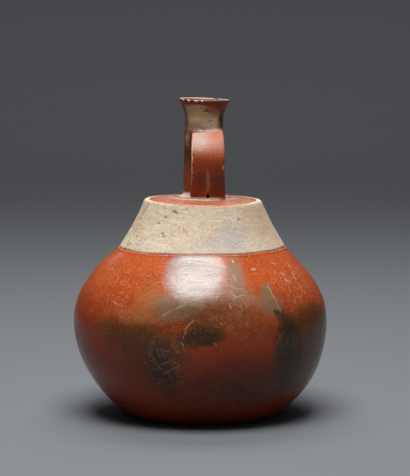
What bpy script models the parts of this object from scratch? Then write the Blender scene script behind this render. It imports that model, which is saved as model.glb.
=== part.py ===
"""Strap-handled bottle: a hollow, hand-built clay vessel, fired in one piece.

A flattened globe rises to an incised line, a slightly hollow cream shoulder and a low domed top.
One spout with a flared, tilted mouth stands on the top, and a flat strap bows from the spout's
middle down to the top in front of it. Metres, +Z up, standing on z = 0, with the front towards -Y.
"""
import math

import bmesh
import bpy

# Body, a flattened globe
BELLY_RADIUS = 0.0964
BELLY_HEIGHT = 0.0709
BELLY_PULL = 0.0289
BASE_RADIUS = 0.0577
BASE_EDGE_ROUND = 0.0120

# Incised line between the body and the shoulder
LINE_HEIGHT = 0.1280
LINE_RADIUS = 0.0628
LINE_PULL = (0.0113, 0.0124)
LINE_WIDTH = 0.0015
LINE_DEPTH = 0.0007

# Shoulder and low domed top
TOP_HEIGHT = 0.1632
TOP_RADIUS = 0.0443
TOP_EDGE_ROUND = 0.0022
TOP_RISE = 0.0028
TOP_RINGS = (0.62, 0.82)
ROOF_RINGS = (0.84, 0.60)
SHOULDER_HOLLOW = 0.0012

# Spout
THROAT_RADIUS = 0.0145
NECK_FOOT_RADIUS = 0.0151
NECK_FOOT_FILLET = 0.0030
FLARE_HEIGHT = 0.2255
FLARE_POWER = 1.35
RIM_RADIUS = 0.0192
RIM_HEIGHT = 0.2393
LIP_ROUND = 0.0010
LIP_HEIGHT = 0.0031
LIP_ARC = (165, -25)

# Walls
WALL = 0.0048
FLOOR_WALL = 0.0056
NECK_WALL = 0.0042
BORE_EDGE_ROUND = 0.0020

# Lean and tilt of the hand-built vessel, sideways along X
BASE_LEAN = 0.0016
BASE_LEAN_HEIGHTS = (0.018, 0.062)
SHOULDER_LEAN = 0.0014
SHOULDER_LEAN_HEIGHTS = (0.114, 0.130)
RIM_LEAN = 0.0030
TOP_TILT = math.radians(0.85)
RIM_TILT = math.radians(2.0)
RIM_TILT_START = 0.205

# Strap handle: its section as shares of the half width and half thickness, round edges first and
# the crowned outside before the flatter inside, how far it stands to the right of the spout's axis,
# and its middle line as (distance out in front of the axis, height)
STRAP_WIDTH = 0.0247
STRAP_THICKNESS = 0.0050
STRAP_SECTION = ((-1.0, 0.0), (-0.92, 0.56), (-0.55, 0.84), (0.0, 1.0), (0.55, 0.84), (0.92, 0.56),
                 (1.0, 0.0), (0.92, -0.56), (0.45, -0.92), (-0.45, -0.92), (-0.92, -0.56))
STRAP_TURN = math.radians(1.0)
STRAP_ASIDE = 0.0029
STRAP_ROOT = (0.0005, 0.2154)
STRAP_BEND = (0.0298, 0.1930)
STRAP_FOOT = (0.0214, 0.1615)
STRAP_REACH = 0.0120
STRAP_ROOT_REACH = 0.0225
STRAP_BEND_LEAN = 0.0004
STRAP_FOOT_LEAN = 0.0034
STRAP_ROOT_SPREAD = 0.93
STRAP_FOOT_SPREAD = 1.08
STRAP_STEPS = 11

# Small drop-shaped hole at the strap's foot
HOLE_WIDTH = 0.0031
HOLE_LENGTH = 0.0045
HOLE_DEPTH = 0.0036
HOLE_TAPER = 0.3
HOLE_PLACE = (0.0255, 0.1677)
HOLE_DOWNWARD = math.radians(12)

# Fineness of the mesh
TURN_STEPS = 60
WELD = 0.00002
SHARP_ANGLE = math.radians(50)

# Lengths of the guide shapes past the clay that they cut
CORE_LENGTH = 0.05
HOLE_GUIDE = 0.01


def smooth_step(value, low, high):
    """Rise from 0 at low to 1 at high, level at both ends."""
    share = min(max((value - low) / (high - low), 0.0), 1.0)
    return share * share * (3.0 - 2.0 * share)


def arc(centre, radius, start, end, steps):
    """Points (radius, height) round a circle, between two angles in degrees."""
    turns = [math.radians(start + (end - start) * step / steps) for step in range(steps + 1)]
    return [(centre[0] + radius * math.cos(turn), centre[1] + radius * math.sin(turn)) for turn in turns]


def rounded_corner(corner, start, end, radius, steps):
    """An arc that rounds a corner between two faces, whose outward directions are in degrees."""
    middle = math.radians(0.5 * (start + end))
    reach = radius / math.cos(math.radians(0.5 * (start - end)))
    centre = (corner[0] - reach * math.cos(middle), corner[1] - reach * math.sin(middle))
    return arc(centre, radius, start, end, steps)


def outward(first, second):
    """The direction, in degrees, that the outside of a wall faces between two points down it."""
    return math.degrees(math.atan2(second[0] - first[0], first[1] - second[1]))


def inset(points, depth):
    """A curve inside another one whose points run down the outside of a wall."""
    inner = []
    last = len(points) - 1
    for place, (radius, height) in enumerate(points):
        facing = math.radians(outward(points[max(place - 1, 0)], points[min(place + 1, last)]))
        inner.append((radius - depth * math.cos(facing), height - depth * math.sin(facing)))
    return inner


def bend(start, start_pull, end_pull, end, steps):
    """Points of a cubic curve that is pulled towards two points on its way."""
    corners = (start, start_pull, end_pull, end)
    points = []
    for step in range(steps + 1):
        share = step / steps
        rest = 1.0 - share
        weights = (rest ** 3, 3.0 * rest ** 2 * share, 3.0 * rest * share ** 2, share ** 3)
        radius = sum(weight * corner[0] for weight, corner in zip(weights, corners))
        height = sum(weight * corner[1] for weight, corner in zip(weights, corners))
        points.append((radius, height))
    return points


def upper_body(steps):
    """The body's outer curve from the incised line down to its widest level."""
    line = (LINE_RADIUS, LINE_HEIGHT)
    line_pull = (LINE_RADIUS + LINE_PULL[0], LINE_HEIGHT - LINE_PULL[1])
    belly_pull = (BELLY_RADIUS, BELLY_HEIGHT + BELLY_PULL)
    return bend(line, line_pull, belly_pull, (BELLY_RADIUS, BELLY_HEIGHT), steps)


def lower_body(steps):
    """The body's outer curve from its widest level to the base's corner: a quarter ellipse, cut off."""
    cut = math.acos(BASE_RADIUS / BELLY_RADIUS)
    depth = BELLY_HEIGHT / math.sin(cut)
    turns = [cut * step / steps for step in range(steps + 1)]
    return [(BELLY_RADIUS * math.cos(turn), BELLY_HEIGHT - depth * math.sin(turn)) for turn in turns]


def base_edge():
    """The round edge between the body and the flat of the base."""
    start = outward(*lower_body(100)[-2:])
    return rounded_corner((BASE_RADIUS, 0.0), start, -90.0, BASE_EDGE_ROUND, 3)


def shoulder_curve(steps):
    """The shoulder from the top's edge down to the incised line: a cone pulled in between its ends."""
    points = []
    for step in range(steps + 1):
        share = step / steps
        hollow = SHOULDER_HOLLOW * 4.0 * share * (1.0 - share)
        radius = TOP_RADIUS + (LINE_RADIUS - TOP_RADIUS) * share - hollow
        points.append((radius, TOP_HEIGHT + (LINE_HEIGHT - TOP_HEIGHT) * share))
    return points


def top_height(radius):
    """Height of the low domed top at a distance from its middle."""
    return TOP_HEIGHT + TOP_RISE * (1.0 - (radius / TOP_RADIUS) ** 2)


def top_edge():
    """The round edge between the domed top and the shoulder."""
    inside = 0.98 * TOP_RADIUS
    start = outward((inside, top_height(inside)), (TOP_RADIUS, TOP_HEIGHT))
    end = outward(*shoulder_curve(20)[:2])
    return rounded_corner((TOP_RADIUS, TOP_HEIGHT), start, end, TOP_EDGE_ROUND, 3)


def neck_radius(height):
    """Outer radius of the spout: a slow taper up to the throat, then a flare to the rim."""
    flare = max(height - FLARE_HEIGHT, 0.0) / (RIM_HEIGHT - LIP_ROUND - FLARE_HEIGHT)
    foot = 1.0 - smooth_step(height, TOP_HEIGHT, FLARE_HEIGHT)
    taper = (NECK_FOOT_RADIUS - THROAT_RADIUS) * foot
    return THROAT_RADIUS + taper + (RIM_RADIUS - THROAT_RADIUS) * min(flare, 1.0) ** FLARE_POWER


def bore_radius(height):
    """Inner radius of the spout, whose wall thins towards the rounded lip."""
    thinning = smooth_step(height, FLARE_HEIGHT, RIM_HEIGHT)
    return neck_radius(height) - NECK_WALL - (2.0 * LIP_ROUND - NECK_WALL) * thinning


def incised_line():
    """The incised line as a notch across the profile."""
    facing = math.radians(outward(*shoulder_curve(20)[-2:]))
    across = 0.5 * LINE_WIDTH * math.sin(facing)
    down = 0.5 * LINE_WIDTH * math.cos(facing)
    bottom = (LINE_RADIUS - LINE_DEPTH * math.cos(facing), LINE_HEIGHT - LINE_DEPTH * math.sin(facing))
    return [(LINE_RADIUS - across, LINE_HEIGHT + down), bottom, (LINE_RADIUS + across, LINE_HEIGHT - down)]


def inner_profile():
    """The inside of the vessel, from the middle of the floor up to the mouth."""
    belly = inset(upper_body(4) + lower_body(6)[1:], WALL)
    shoulder = inset(shoulder_curve(5), WALL)[1:-1]
    roof = [(share * TOP_RADIUS, top_height(share * TOP_RADIUS) - WALL) for share in ROOF_RINGS]
    foot = bore_radius(TOP_HEIGHT)
    edge = (foot + BORE_EDGE_ROUND, top_height(foot) - WALL + BORE_EDGE_ROUND)
    heights = [0.5 * (TOP_HEIGHT + FLARE_HEIGHT)]
    heights += [FLARE_HEIGHT + (RIM_HEIGHT - 2.0 * LIP_ROUND - FLARE_HEIGHT) * step / 3 for step in range(4)]
    bore = [(bore_radius(height), height) for height in heights]
    below = [(0.0, FLOOR_WALL)] + belly[::-1] + shoulder[::-1]
    return below + roof + arc(edge, BORE_EDGE_ROUND, 270, 180, 2) + bore


def outer_profile():
    """The outside of the vessel, from the lip down to the middle of the base."""
    lip = arc((RIM_RADIUS - LIP_ROUND, RIM_HEIGHT - LIP_ROUND), LIP_ROUND, *LIP_ARC, 5)
    flare_top = RIM_HEIGHT - LIP_HEIGHT
    foot_height = top_height(NECK_FOOT_RADIUS + NECK_FOOT_FILLET) + NECK_FOOT_FILLET
    heights = [flare_top + (FLARE_HEIGHT - flare_top) * step / 4 for step in range(5)]
    heights += [FLARE_HEIGHT + (foot_height - FLARE_HEIGHT) * step / 3 for step in (1, 2)]
    neck = [(neck_radius(height), height) for height in heights]
    foot = (neck_radius(foot_height) + NECK_FOOT_FILLET, foot_height)
    fillet = arc(foot, NECK_FOOT_FILLET, 180, 265, 3)
    top = [(share * TOP_RADIUS, top_height(share * TOP_RADIUS)) for share in TOP_RINGS]
    shoulder = shoulder_curve(6)[1:-1]
    body = upper_body(6)[1:] + lower_body(9)[1:-1]
    above_line = lip + neck + fillet + top + top_edge() + shoulder
    return above_line + incised_line() + body + base_edge() + [(0.0, 0.0)]


def link(name, data, collection):
    """A new object in a collection."""
    shape = bpy.data.objects.new(name, data)
    collection.objects.link(shape)
    return shape


def mesh_from(name, shape):
    """A mesh datablock from a bmesh, which is freed."""
    mesh = bpy.data.meshes.new(name)
    shape.to_mesh(mesh)
    shape.free()
    return mesh


def made_mesh(shape, collection):
    """Replace a curve, or an object with modifiers, by a plain welded mesh."""
    depsgraph = bpy.context.evaluated_depsgraph_get()
    mesh = bpy.data.meshes.new_from_object(shape.evaluated_get(depsgraph))
    welded = bmesh.new()
    welded.from_mesh(mesh)
    bmesh.ops.remove_doubles(welded, verts=welded.verts, dist=WELD)
    welded.to_mesh(mesh)
    welded.free()
    name = shape.name
    place = shape.matrix_world.copy()
    bpy.data.objects.remove(shape)
    result = link(name, mesh, collection)
    result.matrix_world = place
    return result


def turned(name, profile, collection):
    """A shape turned round the Z axis from a profile of (radius, height) points."""
    outline = bmesh.new()
    corners = [outline.verts.new((radius, 0.0, height)) for radius, height in profile]
    for first, second in zip(corners, corners[1:]):
        outline.edges.new((first, second))
    shape = link(name, mesh_from(name, outline), collection)
    screw = shape.modifiers.new("Turn", "SCREW")
    screw.axis = "Z"
    screw.steps = TURN_STEPS
    screw.render_steps = TURN_STEPS
    screw.use_merge_vertices = True
    screw.merge_threshold = WELD
    return made_mesh(shape, collection)


def lean(height):
    """How far the hand-built vessel stands off its axis, along X, at a height."""
    base = BASE_LEAN * (1.0 - smooth_step(height, *BASE_LEAN_HEIGHTS))
    shoulder = SHOULDER_LEAN * smooth_step(height, *SHOULDER_LEAN_HEIGHTS)
    above = max(height - LINE_HEIGHT, 0.0) / (RIM_HEIGHT - LINE_HEIGHT)
    return base + shoulder + (RIM_LEAN - SHOULDER_LEAN) * above


def tilt(height):
    """How far the level at a height is tipped, lower towards +X."""
    top = TOP_TILT * smooth_step(height, LINE_HEIGHT, TOP_HEIGHT)
    return top + (RIM_TILT - TOP_TILT) * smooth_step(height, RIM_TILT_START, RIM_HEIGHT)


def set_by_hand(vessel):
    """Give the turned vessel the lean and tilt of hand building."""
    for corner in vessel.data.vertices:
        across, height = corner.co.x, corner.co.z
        corner.co.x = across + lean(height)
        corner.co.z = height - across * math.tan(tilt(height))


def strap_section(collection):
    """Outline of the strap's cross-section."""
    outline = bpy.data.curves.new("strap_section", "CURVE")
    spline = outline.splines.new("POLY")
    spline.points.add(len(STRAP_SECTION) - 1)
    for point, (across, out) in zip(spline.points, STRAP_SECTION):
        point.co = (0.5 * STRAP_WIDTH * across, 0.5 * STRAP_THICKNESS * out, 0.0, 1.0)
    spline.use_cyclic_u = True
    return link("strap_section", outline, collection)


def strap(collection):
    """The strap handle: its section drawn along a bow from the spout's middle down to the top."""
    section = strap_section(collection)
    path = bpy.data.curves.new("strap", "CURVE")
    path.dimensions = "3D"
    path.resolution_u = STRAP_STEPS
    path.bevel_mode = "OBJECT"
    path.bevel_object = section
    path.use_fill_caps = True
    stations = [(STRAP_ROOT, (STRAP_ROOT_REACH, 0.0), STRAP_ROOT_SPREAD),
                (STRAP_BEND, (-STRAP_BEND_LEAN, -STRAP_REACH), 1.0),
                (STRAP_FOOT, (-STRAP_FOOT_LEAN, -STRAP_REACH), STRAP_FOOT_SPREAD)]
    spline = path.splines.new("BEZIER")
    spline.bezier_points.add(len(stations) - 1)
    for point, (place, reach, spread) in zip(spline.bezier_points, stations):
        point.handle_left_type = point.handle_right_type = "FREE"
        point.co = (0.0, -place[0], place[1])
        point.handle_left = (0.0, reach[0] - place[0], place[1] - reach[1])
        point.handle_right = (0.0, -reach[0] - place[0], place[1] + reach[1])
        point.radius = spread
    shape = link("strap", path, collection)
    bpy.context.view_layer.update()
    shape = made_mesh(shape, collection)
    bpy.data.objects.remove(section)
    shape.rotation_euler.z = STRAP_TURN
    shape.location.x = lean(STRAP_BEND[1]) + STRAP_ASIDE
    return shape


def spout_core(collection):
    """A rod inside the spout's wall, which ends the strap's root there."""
    rod = bmesh.new()
    radius = THROAT_RADIUS - 0.5 * NECK_WALL
    bmesh.ops.create_cone(rod, cap_ends=True, segments=TURN_STEPS, radius1=radius, radius2=radius,
                          depth=CORE_LENGTH)
    shape = link("spout_core", mesh_from("spout_core", rod), collection)
    shape.location = (lean(STRAP_ROOT[1]), 0.0, STRAP_ROOT[1])
    return shape


def foot_hole(collection):
    """The drop-shaped hole, pointed at its top and pushed down into the clay of the strap's foot."""
    drop = bmesh.new()
    radius = 0.5 * HOLE_WIDTH
    bmesh.ops.create_cone(drop, cap_ends=True, segments=12, radius1=radius, radius2=radius,
                          depth=HOLE_DEPTH + HOLE_GUIDE)
    for corner in drop.verts:
        corner.co.z += 0.5 * (HOLE_DEPTH - HOLE_GUIDE)
        if corner.co.y < 0.0:
            share = -corner.co.y / radius
            corner.co.y = (radius - HOLE_LENGTH) * share
            corner.co.x *= 1.0 - HOLE_TAPER * share
    shape = link("foot_hole", mesh_from("foot_hole", drop), collection)
    shape.rotation_euler = (-0.5 * math.pi - HOLE_DOWNWARD, 0.0, STRAP_TURN)
    away, height = HOLE_PLACE
    middle = lean(STRAP_BEND[1]) + STRAP_ASIDE
    shape.location = (middle + away * math.sin(STRAP_TURN), -away * math.cos(STRAP_TURN), height)
    return shape


def join_or_cut(shape, name, operation, other):
    """A live Boolean with a guide shape, which is kept out of the model."""
    other.hide_render = True
    other.display_type = "WIRE"
    step = shape.modifiers.new(name, "BOOLEAN")
    step.operation = operation
    step.solver = "EXACT"
    step.object = other


def burnished_clay():
    """Red slip, burnished and smoke-fired."""
    material = bpy.data.materials.new("burnished_clay")
    material.use_nodes = True
    shader = material.node_tree.nodes["Principled BSDF"]
    shader.inputs["Base Color"].default_value = (0.30, 0.085, 0.035, 1.0)
    shader.inputs["Roughness"].default_value = 0.38
    shader.inputs["Metallic"].default_value = 0.0
    return material


def main():
    """Build the bottle in its own collection, with its guide shapes in another."""
    for old in list(bpy.data.objects):
        bpy.data.objects.remove(old)
    bottle = bpy.data.collections.new("strap_handled_bottle")
    guides = bpy.data.collections.new("guides")
    for collection in (bottle, guides):
        bpy.context.scene.collection.children.link(collection)
    vessel = turned("strap_handled_bottle", inner_profile() + outer_profile(), bottle)
    set_by_hand(vessel)
    handle = strap(guides)
    join_or_cut(handle, "End inside the wall", "DIFFERENCE", spout_core(guides))
    join_or_cut(vessel, "Strap handle", "UNION", handle)
    join_or_cut(vessel, "Hole at the strap's foot", "DIFFERENCE", foot_hole(guides))
    vessel.data.materials.append(burnished_clay())
    vessel.data.shade_smooth()
    vessel.data.set_sharp_from_angle(angle=SHARP_ANGLE)


main()
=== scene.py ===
"""Looks of a strap-handled clay bottle: its finely modelled wall, its slips, smoke and wear, and a studio.

The bottle is one fired piece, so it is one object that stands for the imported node. Its outline repeats
the node's named sizes. Metres, +Z up, with the front towards -Y. Angles round the vessel are counted
in degrees from its front, towards +X.
"""
import math
import operator
from types import SimpleNamespace

import bmesh
import bpy
from mathutils import Matrix, Vector, kdtree, noise


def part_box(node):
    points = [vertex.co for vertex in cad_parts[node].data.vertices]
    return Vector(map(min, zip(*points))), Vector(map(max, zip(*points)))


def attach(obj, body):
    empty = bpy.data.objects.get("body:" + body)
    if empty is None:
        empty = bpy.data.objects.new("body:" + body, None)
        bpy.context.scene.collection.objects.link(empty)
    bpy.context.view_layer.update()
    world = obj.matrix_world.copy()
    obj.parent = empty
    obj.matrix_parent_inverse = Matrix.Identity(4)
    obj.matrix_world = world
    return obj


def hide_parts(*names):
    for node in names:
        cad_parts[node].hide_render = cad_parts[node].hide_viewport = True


bl_info = {
    "name": "Strap-handled clay bottle",
    "version": (1, 0, 0),
    "blender": (4, 5, 0),
    "location": "3D View > Sidebar > Clay bottle",
    "description": "Models a hand-built, burnished and smoke-fired clay bottle on a studio stage",
    "category": "Add Mesh",
}

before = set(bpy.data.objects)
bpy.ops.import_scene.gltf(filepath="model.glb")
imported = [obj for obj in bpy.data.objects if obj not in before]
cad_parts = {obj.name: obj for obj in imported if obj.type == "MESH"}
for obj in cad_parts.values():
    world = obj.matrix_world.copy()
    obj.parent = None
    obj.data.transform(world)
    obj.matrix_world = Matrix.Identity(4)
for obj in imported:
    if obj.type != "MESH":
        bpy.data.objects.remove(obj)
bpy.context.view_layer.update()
NODE = "strap_handled_bottle"
NODE_LOW, NODE_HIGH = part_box(NODE)

# Body, a flattened globe
BELLY_RADIUS = 0.5 * (NODE_HIGH.x - NODE_LOW.x)
BELLY_HEIGHT = 0.0709
BELLY_PULL = 0.0289
BASE_RADIUS = 0.0577
BASE_EDGE_ROUND = 0.012

# Incised line, shoulder and low domed top
LINE_HEIGHT = 0.128
LINE_RADIUS = 0.0628
LINE_PULL = (0.0113, 0.0124)
TOP_HEIGHT = 0.1632
TOP_RADIUS = 0.0443
TOP_EDGE_ROUND = 0.0022
TOP_RISE = 0.0028
SHOULDER_HOLLOW = 0.0012

# Spout
THROAT_RADIUS = 0.0145
NECK_FOOT_RADIUS = 0.0151
NECK_FOOT_FILLET = 0.003
FLARE_HEIGHT = 0.2255
FLARE_POWER = 1.35
RIM_RADIUS = 0.0192
RIM_HEIGHT = 0.2393
LIP_ROUND = 0.001

# Walls
WALL = 0.0048
FLOOR_WALL = 0.0056
NECK_WALL = 0.0042
BORE_EDGE_ROUND = 0.002

# Lean and tilt of the hand-built vessel, sideways along X
BASE_LEAN = 0.0016
BASE_LEAN_HEIGHTS = (0.018, 0.062)
SHOULDER_LEAN = 0.0014
SHOULDER_LEAN_HEIGHTS = (0.114, 0.13)
RIM_LEAN = 0.003
TOP_TILT = math.radians(0.85)
RIM_TILT = math.radians(2.0)
RIM_TILT_START = 0.205

# Strap handle, set to the right of the spout's axis; its middle line as (distance out in front, height)
STRAP_WIDTH = 0.0247
STRAP_THICKNESS = 0.005
STRAP_TURN = math.radians(1.0)
STRAP_ASIDE = 0.0029
STRAP_ROOT = (0.0005, 0.2154)
STRAP_ROOT_PULL = (0.023, 0.2154)
STRAP_BEND = (0.0298, 0.193)
STRAP_BEND_PULLS = ((0.0302, 0.205), (0.0294, 0.181))
STRAP_FOOT_PULL = (0.0248, 0.1735)
STRAP_FOOT = (0.0214, 0.1615)
STRAP_ROOT_SPREAD = 0.93
STRAP_FOOT_SPREAD = 1.08

# Small drop-shaped hole at the strap's foot
HOLE_WIDTH = 0.0031
HOLE_LENGTH = 0.0045
HOLE_DEPTH = 0.0036
HOLE_PLACE = (0.0255, 0.1677)
HOLE_DOWNWARD = math.radians(12)

# Floor: a level disc whose rim curves up, as (radius, height)
FLOOR_RIM = (
    (2.2, 0.0), (2.42, 0.02), (2.62, 0.08), (2.78, 0.18), (2.9, 0.32), (2.97, 0.48), (3.0, 0.8),
)

# Lights over the bottle and the floor, the cool light of the room, and the camera's place to the right
SOFTBOX_PLACE = (-0.03, -0.38, 1.12)
BEHIND_PLACE = (0.0, 0.5, 1.15)
BEHIND_SIZE = (0.9, 0.5)
FAR_PLACE = (0.0, 2.6, 1.3)
FAR_SIZE = (3.0, 0.5)
ROOM_COLOUR = (0.93, 0.96, 1.0)
CAMERA_ASIDE = 0.0035

# Fineness of the mesh: spacing of its rings along the outline, and how far from a level it is finer
WELD = 0.00002
BODY_SPACING = 0.0022
SHOULDER_SPACING = 0.0009
LINE_SPACING = 0.00022
NECK_SPACING = 0.00075
LIP_SPACING = 0.0003
INSIDE_SPACING = 0.004
LINE_FINE_REACH = 0.0022
FINE_REACH = 0.004
MOUTH_DEPTH = 0.01

# Swellings of the hand-built wall: widths, one on the left below the line, and the flat of the foot
BROAD_SWELLING = 0.034
SMALL_SWELLING = 0.013
SIDE_SWELLING = 0.0009
SIDE_SWELLING_HEIGHT = 0.119
SIDE_SWELLING_REACH = 0.02
FOOT_FLAT = 0.0004

# Strap: curve of its crown, steps along it and round it, and how far its ends spread
CROWN_POWERS = (2.2, 0.3)
STRAP_STEPS = (44, 36)
STRAP_SEGMENTS = 44
SPREAD_REACHES = (0.45, 0.4)

# Seams: how far an edge folds to count as one, rounds of smoothing, and the root's share of the reach
SEAM_CREASE = math.radians(24)
SEAM_ROUNDS = 16
ROOT_SHARE = 0.4

# Incised line: length of wall to a height there, width of the change from below to above, reach and burr
LINE_SLOPE = 1.25
SIDE_BAND = 0.004
LINE_REACH = 0.006
BURR = 0.28

# How ragged a dent's edge is, and how wide its notches are
RAGGEDNESS = 0.45
RAGGED_WIDTH = 0.0011

# Hand-made touches: (turn, height, reach along the wall, depth of the dent, or minus its swelling)
LIP_CHIPS = (
    (-38, 0.2391, 0.0016, 0.0008), (-19, 0.2391, 0.0018, 0.0009), (-5, 0.2392, 0.0012, 0.0006),
    (-58, 0.239, 0.0011, 0.0005), (150, 0.2391, 0.0016, 0.0007), (97, 0.2391, 0.001, 0.0005),
)
NECK_PITS = (
    (8, 0.2312, 0.0011, 0.0007), (1, 0.2305, 0.0008, 0.0005), (16, 0.2302, 0.0009, 0.0006),
    (-8, 0.2325, 0.0006, 0.0004), (18, 0.2228, 0.0008, 0.0004), (26, 0.2236, 0.0006, 0.0004),
)
SHOULDER_PITS = (
    (-27, 0.1574, 0.0013, 0.0006), (-25, 0.1566, 0.001, 0.0005), (-35, 0.153, 0.0009, 0.0005),
    (-40, 0.1484, 0.001, 0.0005), (-33, 0.1415, 0.001, 0.0006), (-31, 0.1398, 0.0009, 0.0005),
    (33, 0.152, 0.0009, 0.0004), (118, 0.15, 0.0011, 0.0005), (-140, 0.1442, 0.001, 0.0005),
)
SMEARS = (
    (-58, 0.2092, 0.003, -0.0008), (-60, 0.2058, 0.0024, -0.0006), (4, 0.2185, 0.0022, -0.0003),
)


def length_property(name, description, default, low, high):
    """A length that can be changed in the sidebar."""
    return bpy.props.FloatProperty(name=name, description=description, default=default, min=low, max=high,
                                   precision=5, unit="LENGTH", subtype="DISTANCE")


def power_property(name, where, default):
    """The power of a light, which can be changed in the sidebar."""
    description = f"Power of the light {where}, in watts"
    return bpy.props.FloatProperty(name=name, description=description, default=default, min=0.0, max=200.0)


def colour_property(name, description, default):
    """A colour that can be changed in the sidebar."""
    return bpy.props.FloatVectorProperty(
        name=name, description=description, default=default, min=0.0, max=1.0, size=3, subtype="COLOR")


class ClayBottleSizes(bpy.types.PropertyGroup):
    """Sizes of the fine modelling, which keeps the solid's form."""
    turn_steps: bpy.props.IntProperty(
        name="Turn steps", description="Facets round the vessel", default=200, min=48, max=240)
    unevenness: length_property("Unevenness", "How far the wall wanders in and out", 0.00045, 0.0, 0.002)
    line_width: length_property("Line width", "Width of the incised line", 0.0013, 0.0003, 0.003)
    line_depth: length_property("Line depth", "Depth of the incised line", 0.0008, 0.0, 0.002)
    line_wander: length_property("Line wander", "How far the line strays up and down", 0.0004, 0.0, 0.0015)
    seam_reach: length_property("Seam reach", "How far clay is smeared at the joints", 0.0028, 0.0005, 0.006)


class ClayBottleColours(bpy.types.PropertyGroup):
    """Colours of the clay, slips, smoke and wear, some also used as painted highlight and painted shade."""
    red: colour_property("Red slip", "Burnished red slip", (0.34, 0.045, 0.008))
    orange: colour_property("Orange", "Red slip where it is rubbed thin", (0.41, 0.07, 0.011))
    # Also painted shade on the flare
    deep_red: colour_property("Deep red", "Red slip where it is thick and dark", (0.28, 0.03, 0.006))
    umber: colour_property("Umber", "Red brown between the fire clouds", (0.19, 0.05, 0.015))
    # Also painted shade on the lip and beside the strap's root
    smoke: colour_property("Smoke", "Brown stain from smoke in the firing", (0.086, 0.031, 0.009))
    soot: colour_property("Soot", "Darkest grey of the fire clouds", (0.034, 0.022, 0.012))
    olive: colour_property("Olive", "Olive brown inside the fire clouds", (0.165, 0.105, 0.055))
    ochre: colour_property("Ochre", "Yellow brown edge of the fire clouds", (0.33, 0.135, 0.045))
    tan: colour_property("Tan", "Grey tan between the fire clouds", (0.215, 0.15, 0.1))
    cream: colour_property("Cream slip", "Matt slip on the shoulder", (0.495, 0.398, 0.268))
    pale: colour_property("Pale slip", "Thicker streaks of the cream slip", (0.6, 0.525, 0.42))
    dusky: colour_property("Dusky slip", "Cream slip worn thin over the red", (0.4, 0.28, 0.2))
    # Also painted pale under the body's highlight, as part of it
    grey: colour_property("Grey cloud", "Smoke on the cream slip", (0.33, 0.31, 0.3))
    # Also the painted highlight on the raised edge below the incised line
    pink: colour_property("Pink", "Red slip that shows through or is rubbed pale", (0.48, 0.19, 0.115))
    # Also the painted highlights: on the top, round the spout's foot, on the lip's top and along the strap
    rubbed: colour_property("Rubbed slip", "Slip rubbed almost white", (0.56, 0.42, 0.34))
    bare: colour_property("Bare clay", "Buff clay where the slip is worn off", (0.54, 0.35, 0.18))
    mark: colour_property("Root marks", "Pale marks that roots left in the ground", (0.56, 0.4, 0.23))


class ClayBottleStudio(bpy.types.PropertyGroup):
    """The stage: floor, lights and camera."""
    floor: colour_property("Floor", "Plain pale floor", (0.132, 0.139, 0.148))
    softbox_power: power_property("Softbox", "over the bottle", 20.0)
    softbox_width: length_property("Softbox width", "Width of the light over the bottle", 0.64, 0.1, 2.0)
    softbox_length: length_property("Softbox length", "Length of that light, front to back", 0.54, 0.1, 2.0)
    behind_power: power_property("Light behind", "over the floor behind the bottle", 12.0)
    far_power: power_property("Far light", "along the far rim of the floor", 8.0)
    room_light: bpy.props.FloatProperty(
        name="Room light", description="Strength of the light all round", default=0.10, min=0.0, max=2.0)
    camera_distance: length_property("Camera distance", "Level distance from the axis", 1.522, 0.5, 10.0)
    camera_height: length_property("Camera height", "Height of the camera above the floor", 0.3017, 0.0, 3.0)
    camera_pitch: bpy.props.FloatProperty(
        name="Camera pitch", description="How far the camera looks down", default=math.radians(6.30),
        subtype="ANGLE")
    lens: bpy.props.FloatProperty(
        name="Lens", description="Focal length for a sensor 36 mm on its long side", default=152.2, min=20.0)


def smooth_step(value, low, high):
    """Rise from 0 at low to 1 at high, level at both ends."""
    share = min(max((value - low) / (high - low), 0.0), 1.0)
    return share * share * (3.0 - 2.0 * share)


def bell(distance, reach):
    """A smooth hump: 1 at no distance, 0 from the reach onwards."""
    return 1.0 - smooth_step(abs(distance), 0.0, reach)


def evenly(start, end, steps):
    """Numbers from start to end, both included."""
    return [start + (end - start) * step / steps for step in range(steps + 1)]


def arc(centre, radius, start, end, steps):
    """Points (radius, height) round a circle, between two angles in degrees."""
    turns = [math.radians(angle) for angle in evenly(start, end, steps)]
    return [(centre[0] + radius * math.cos(turn), centre[1] + radius * math.sin(turn)) for turn in turns]


def rounded_corner(corner, start, end, radius, steps):
    """An arc that rounds a corner between two faces, whose outward directions are in degrees."""
    middle = math.radians(0.5 * (start + end))
    reach = radius / math.cos(math.radians(0.5 * (start - end)))
    centre = (corner[0] - reach * math.cos(middle), corner[1] - reach * math.sin(middle))
    return arc(centre, radius, start, end, steps)


def outward(first, second):
    """The direction, in degrees, that the outside of a wall faces between two points down it."""
    return math.degrees(math.atan2(second[0] - first[0], first[1] - second[1]))


def inset(points, depth):
    """A curve inside another one whose points run down the outside of a wall."""
    inner = []
    last = len(points) - 1
    for place, (radius, height) in enumerate(points):
        facing = math.radians(outward(points[max(place - 1, 0)], points[min(place + 1, last)]))
        inner.append((radius - depth * math.cos(facing), height - depth * math.sin(facing)))
    return inner


def bend(start, start_pull, end_pull, end, steps):
    """Points of a cubic curve that is pulled towards two points on its way."""
    corners = (start, start_pull, end_pull, end)
    points = []
    for share in evenly(0.0, 1.0, steps):
        rest = 1.0 - share
        weights = (rest ** 3, 3.0 * rest ** 2 * share, 3.0 * rest * share ** 2, share ** 3)
        points.append(tuple(sum(map(operator.mul, weights, numbers)) for numbers in zip(*corners)))
    return points


def upper_body(steps):
    """The body's outer curve from the incised line down to its widest level."""
    line = (LINE_RADIUS, LINE_HEIGHT)
    line_pull = (LINE_RADIUS + LINE_PULL[0], LINE_HEIGHT - LINE_PULL[1])
    belly_pull = (BELLY_RADIUS, BELLY_HEIGHT + BELLY_PULL)
    return bend(line, line_pull, belly_pull, (BELLY_RADIUS, BELLY_HEIGHT), steps)


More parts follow.
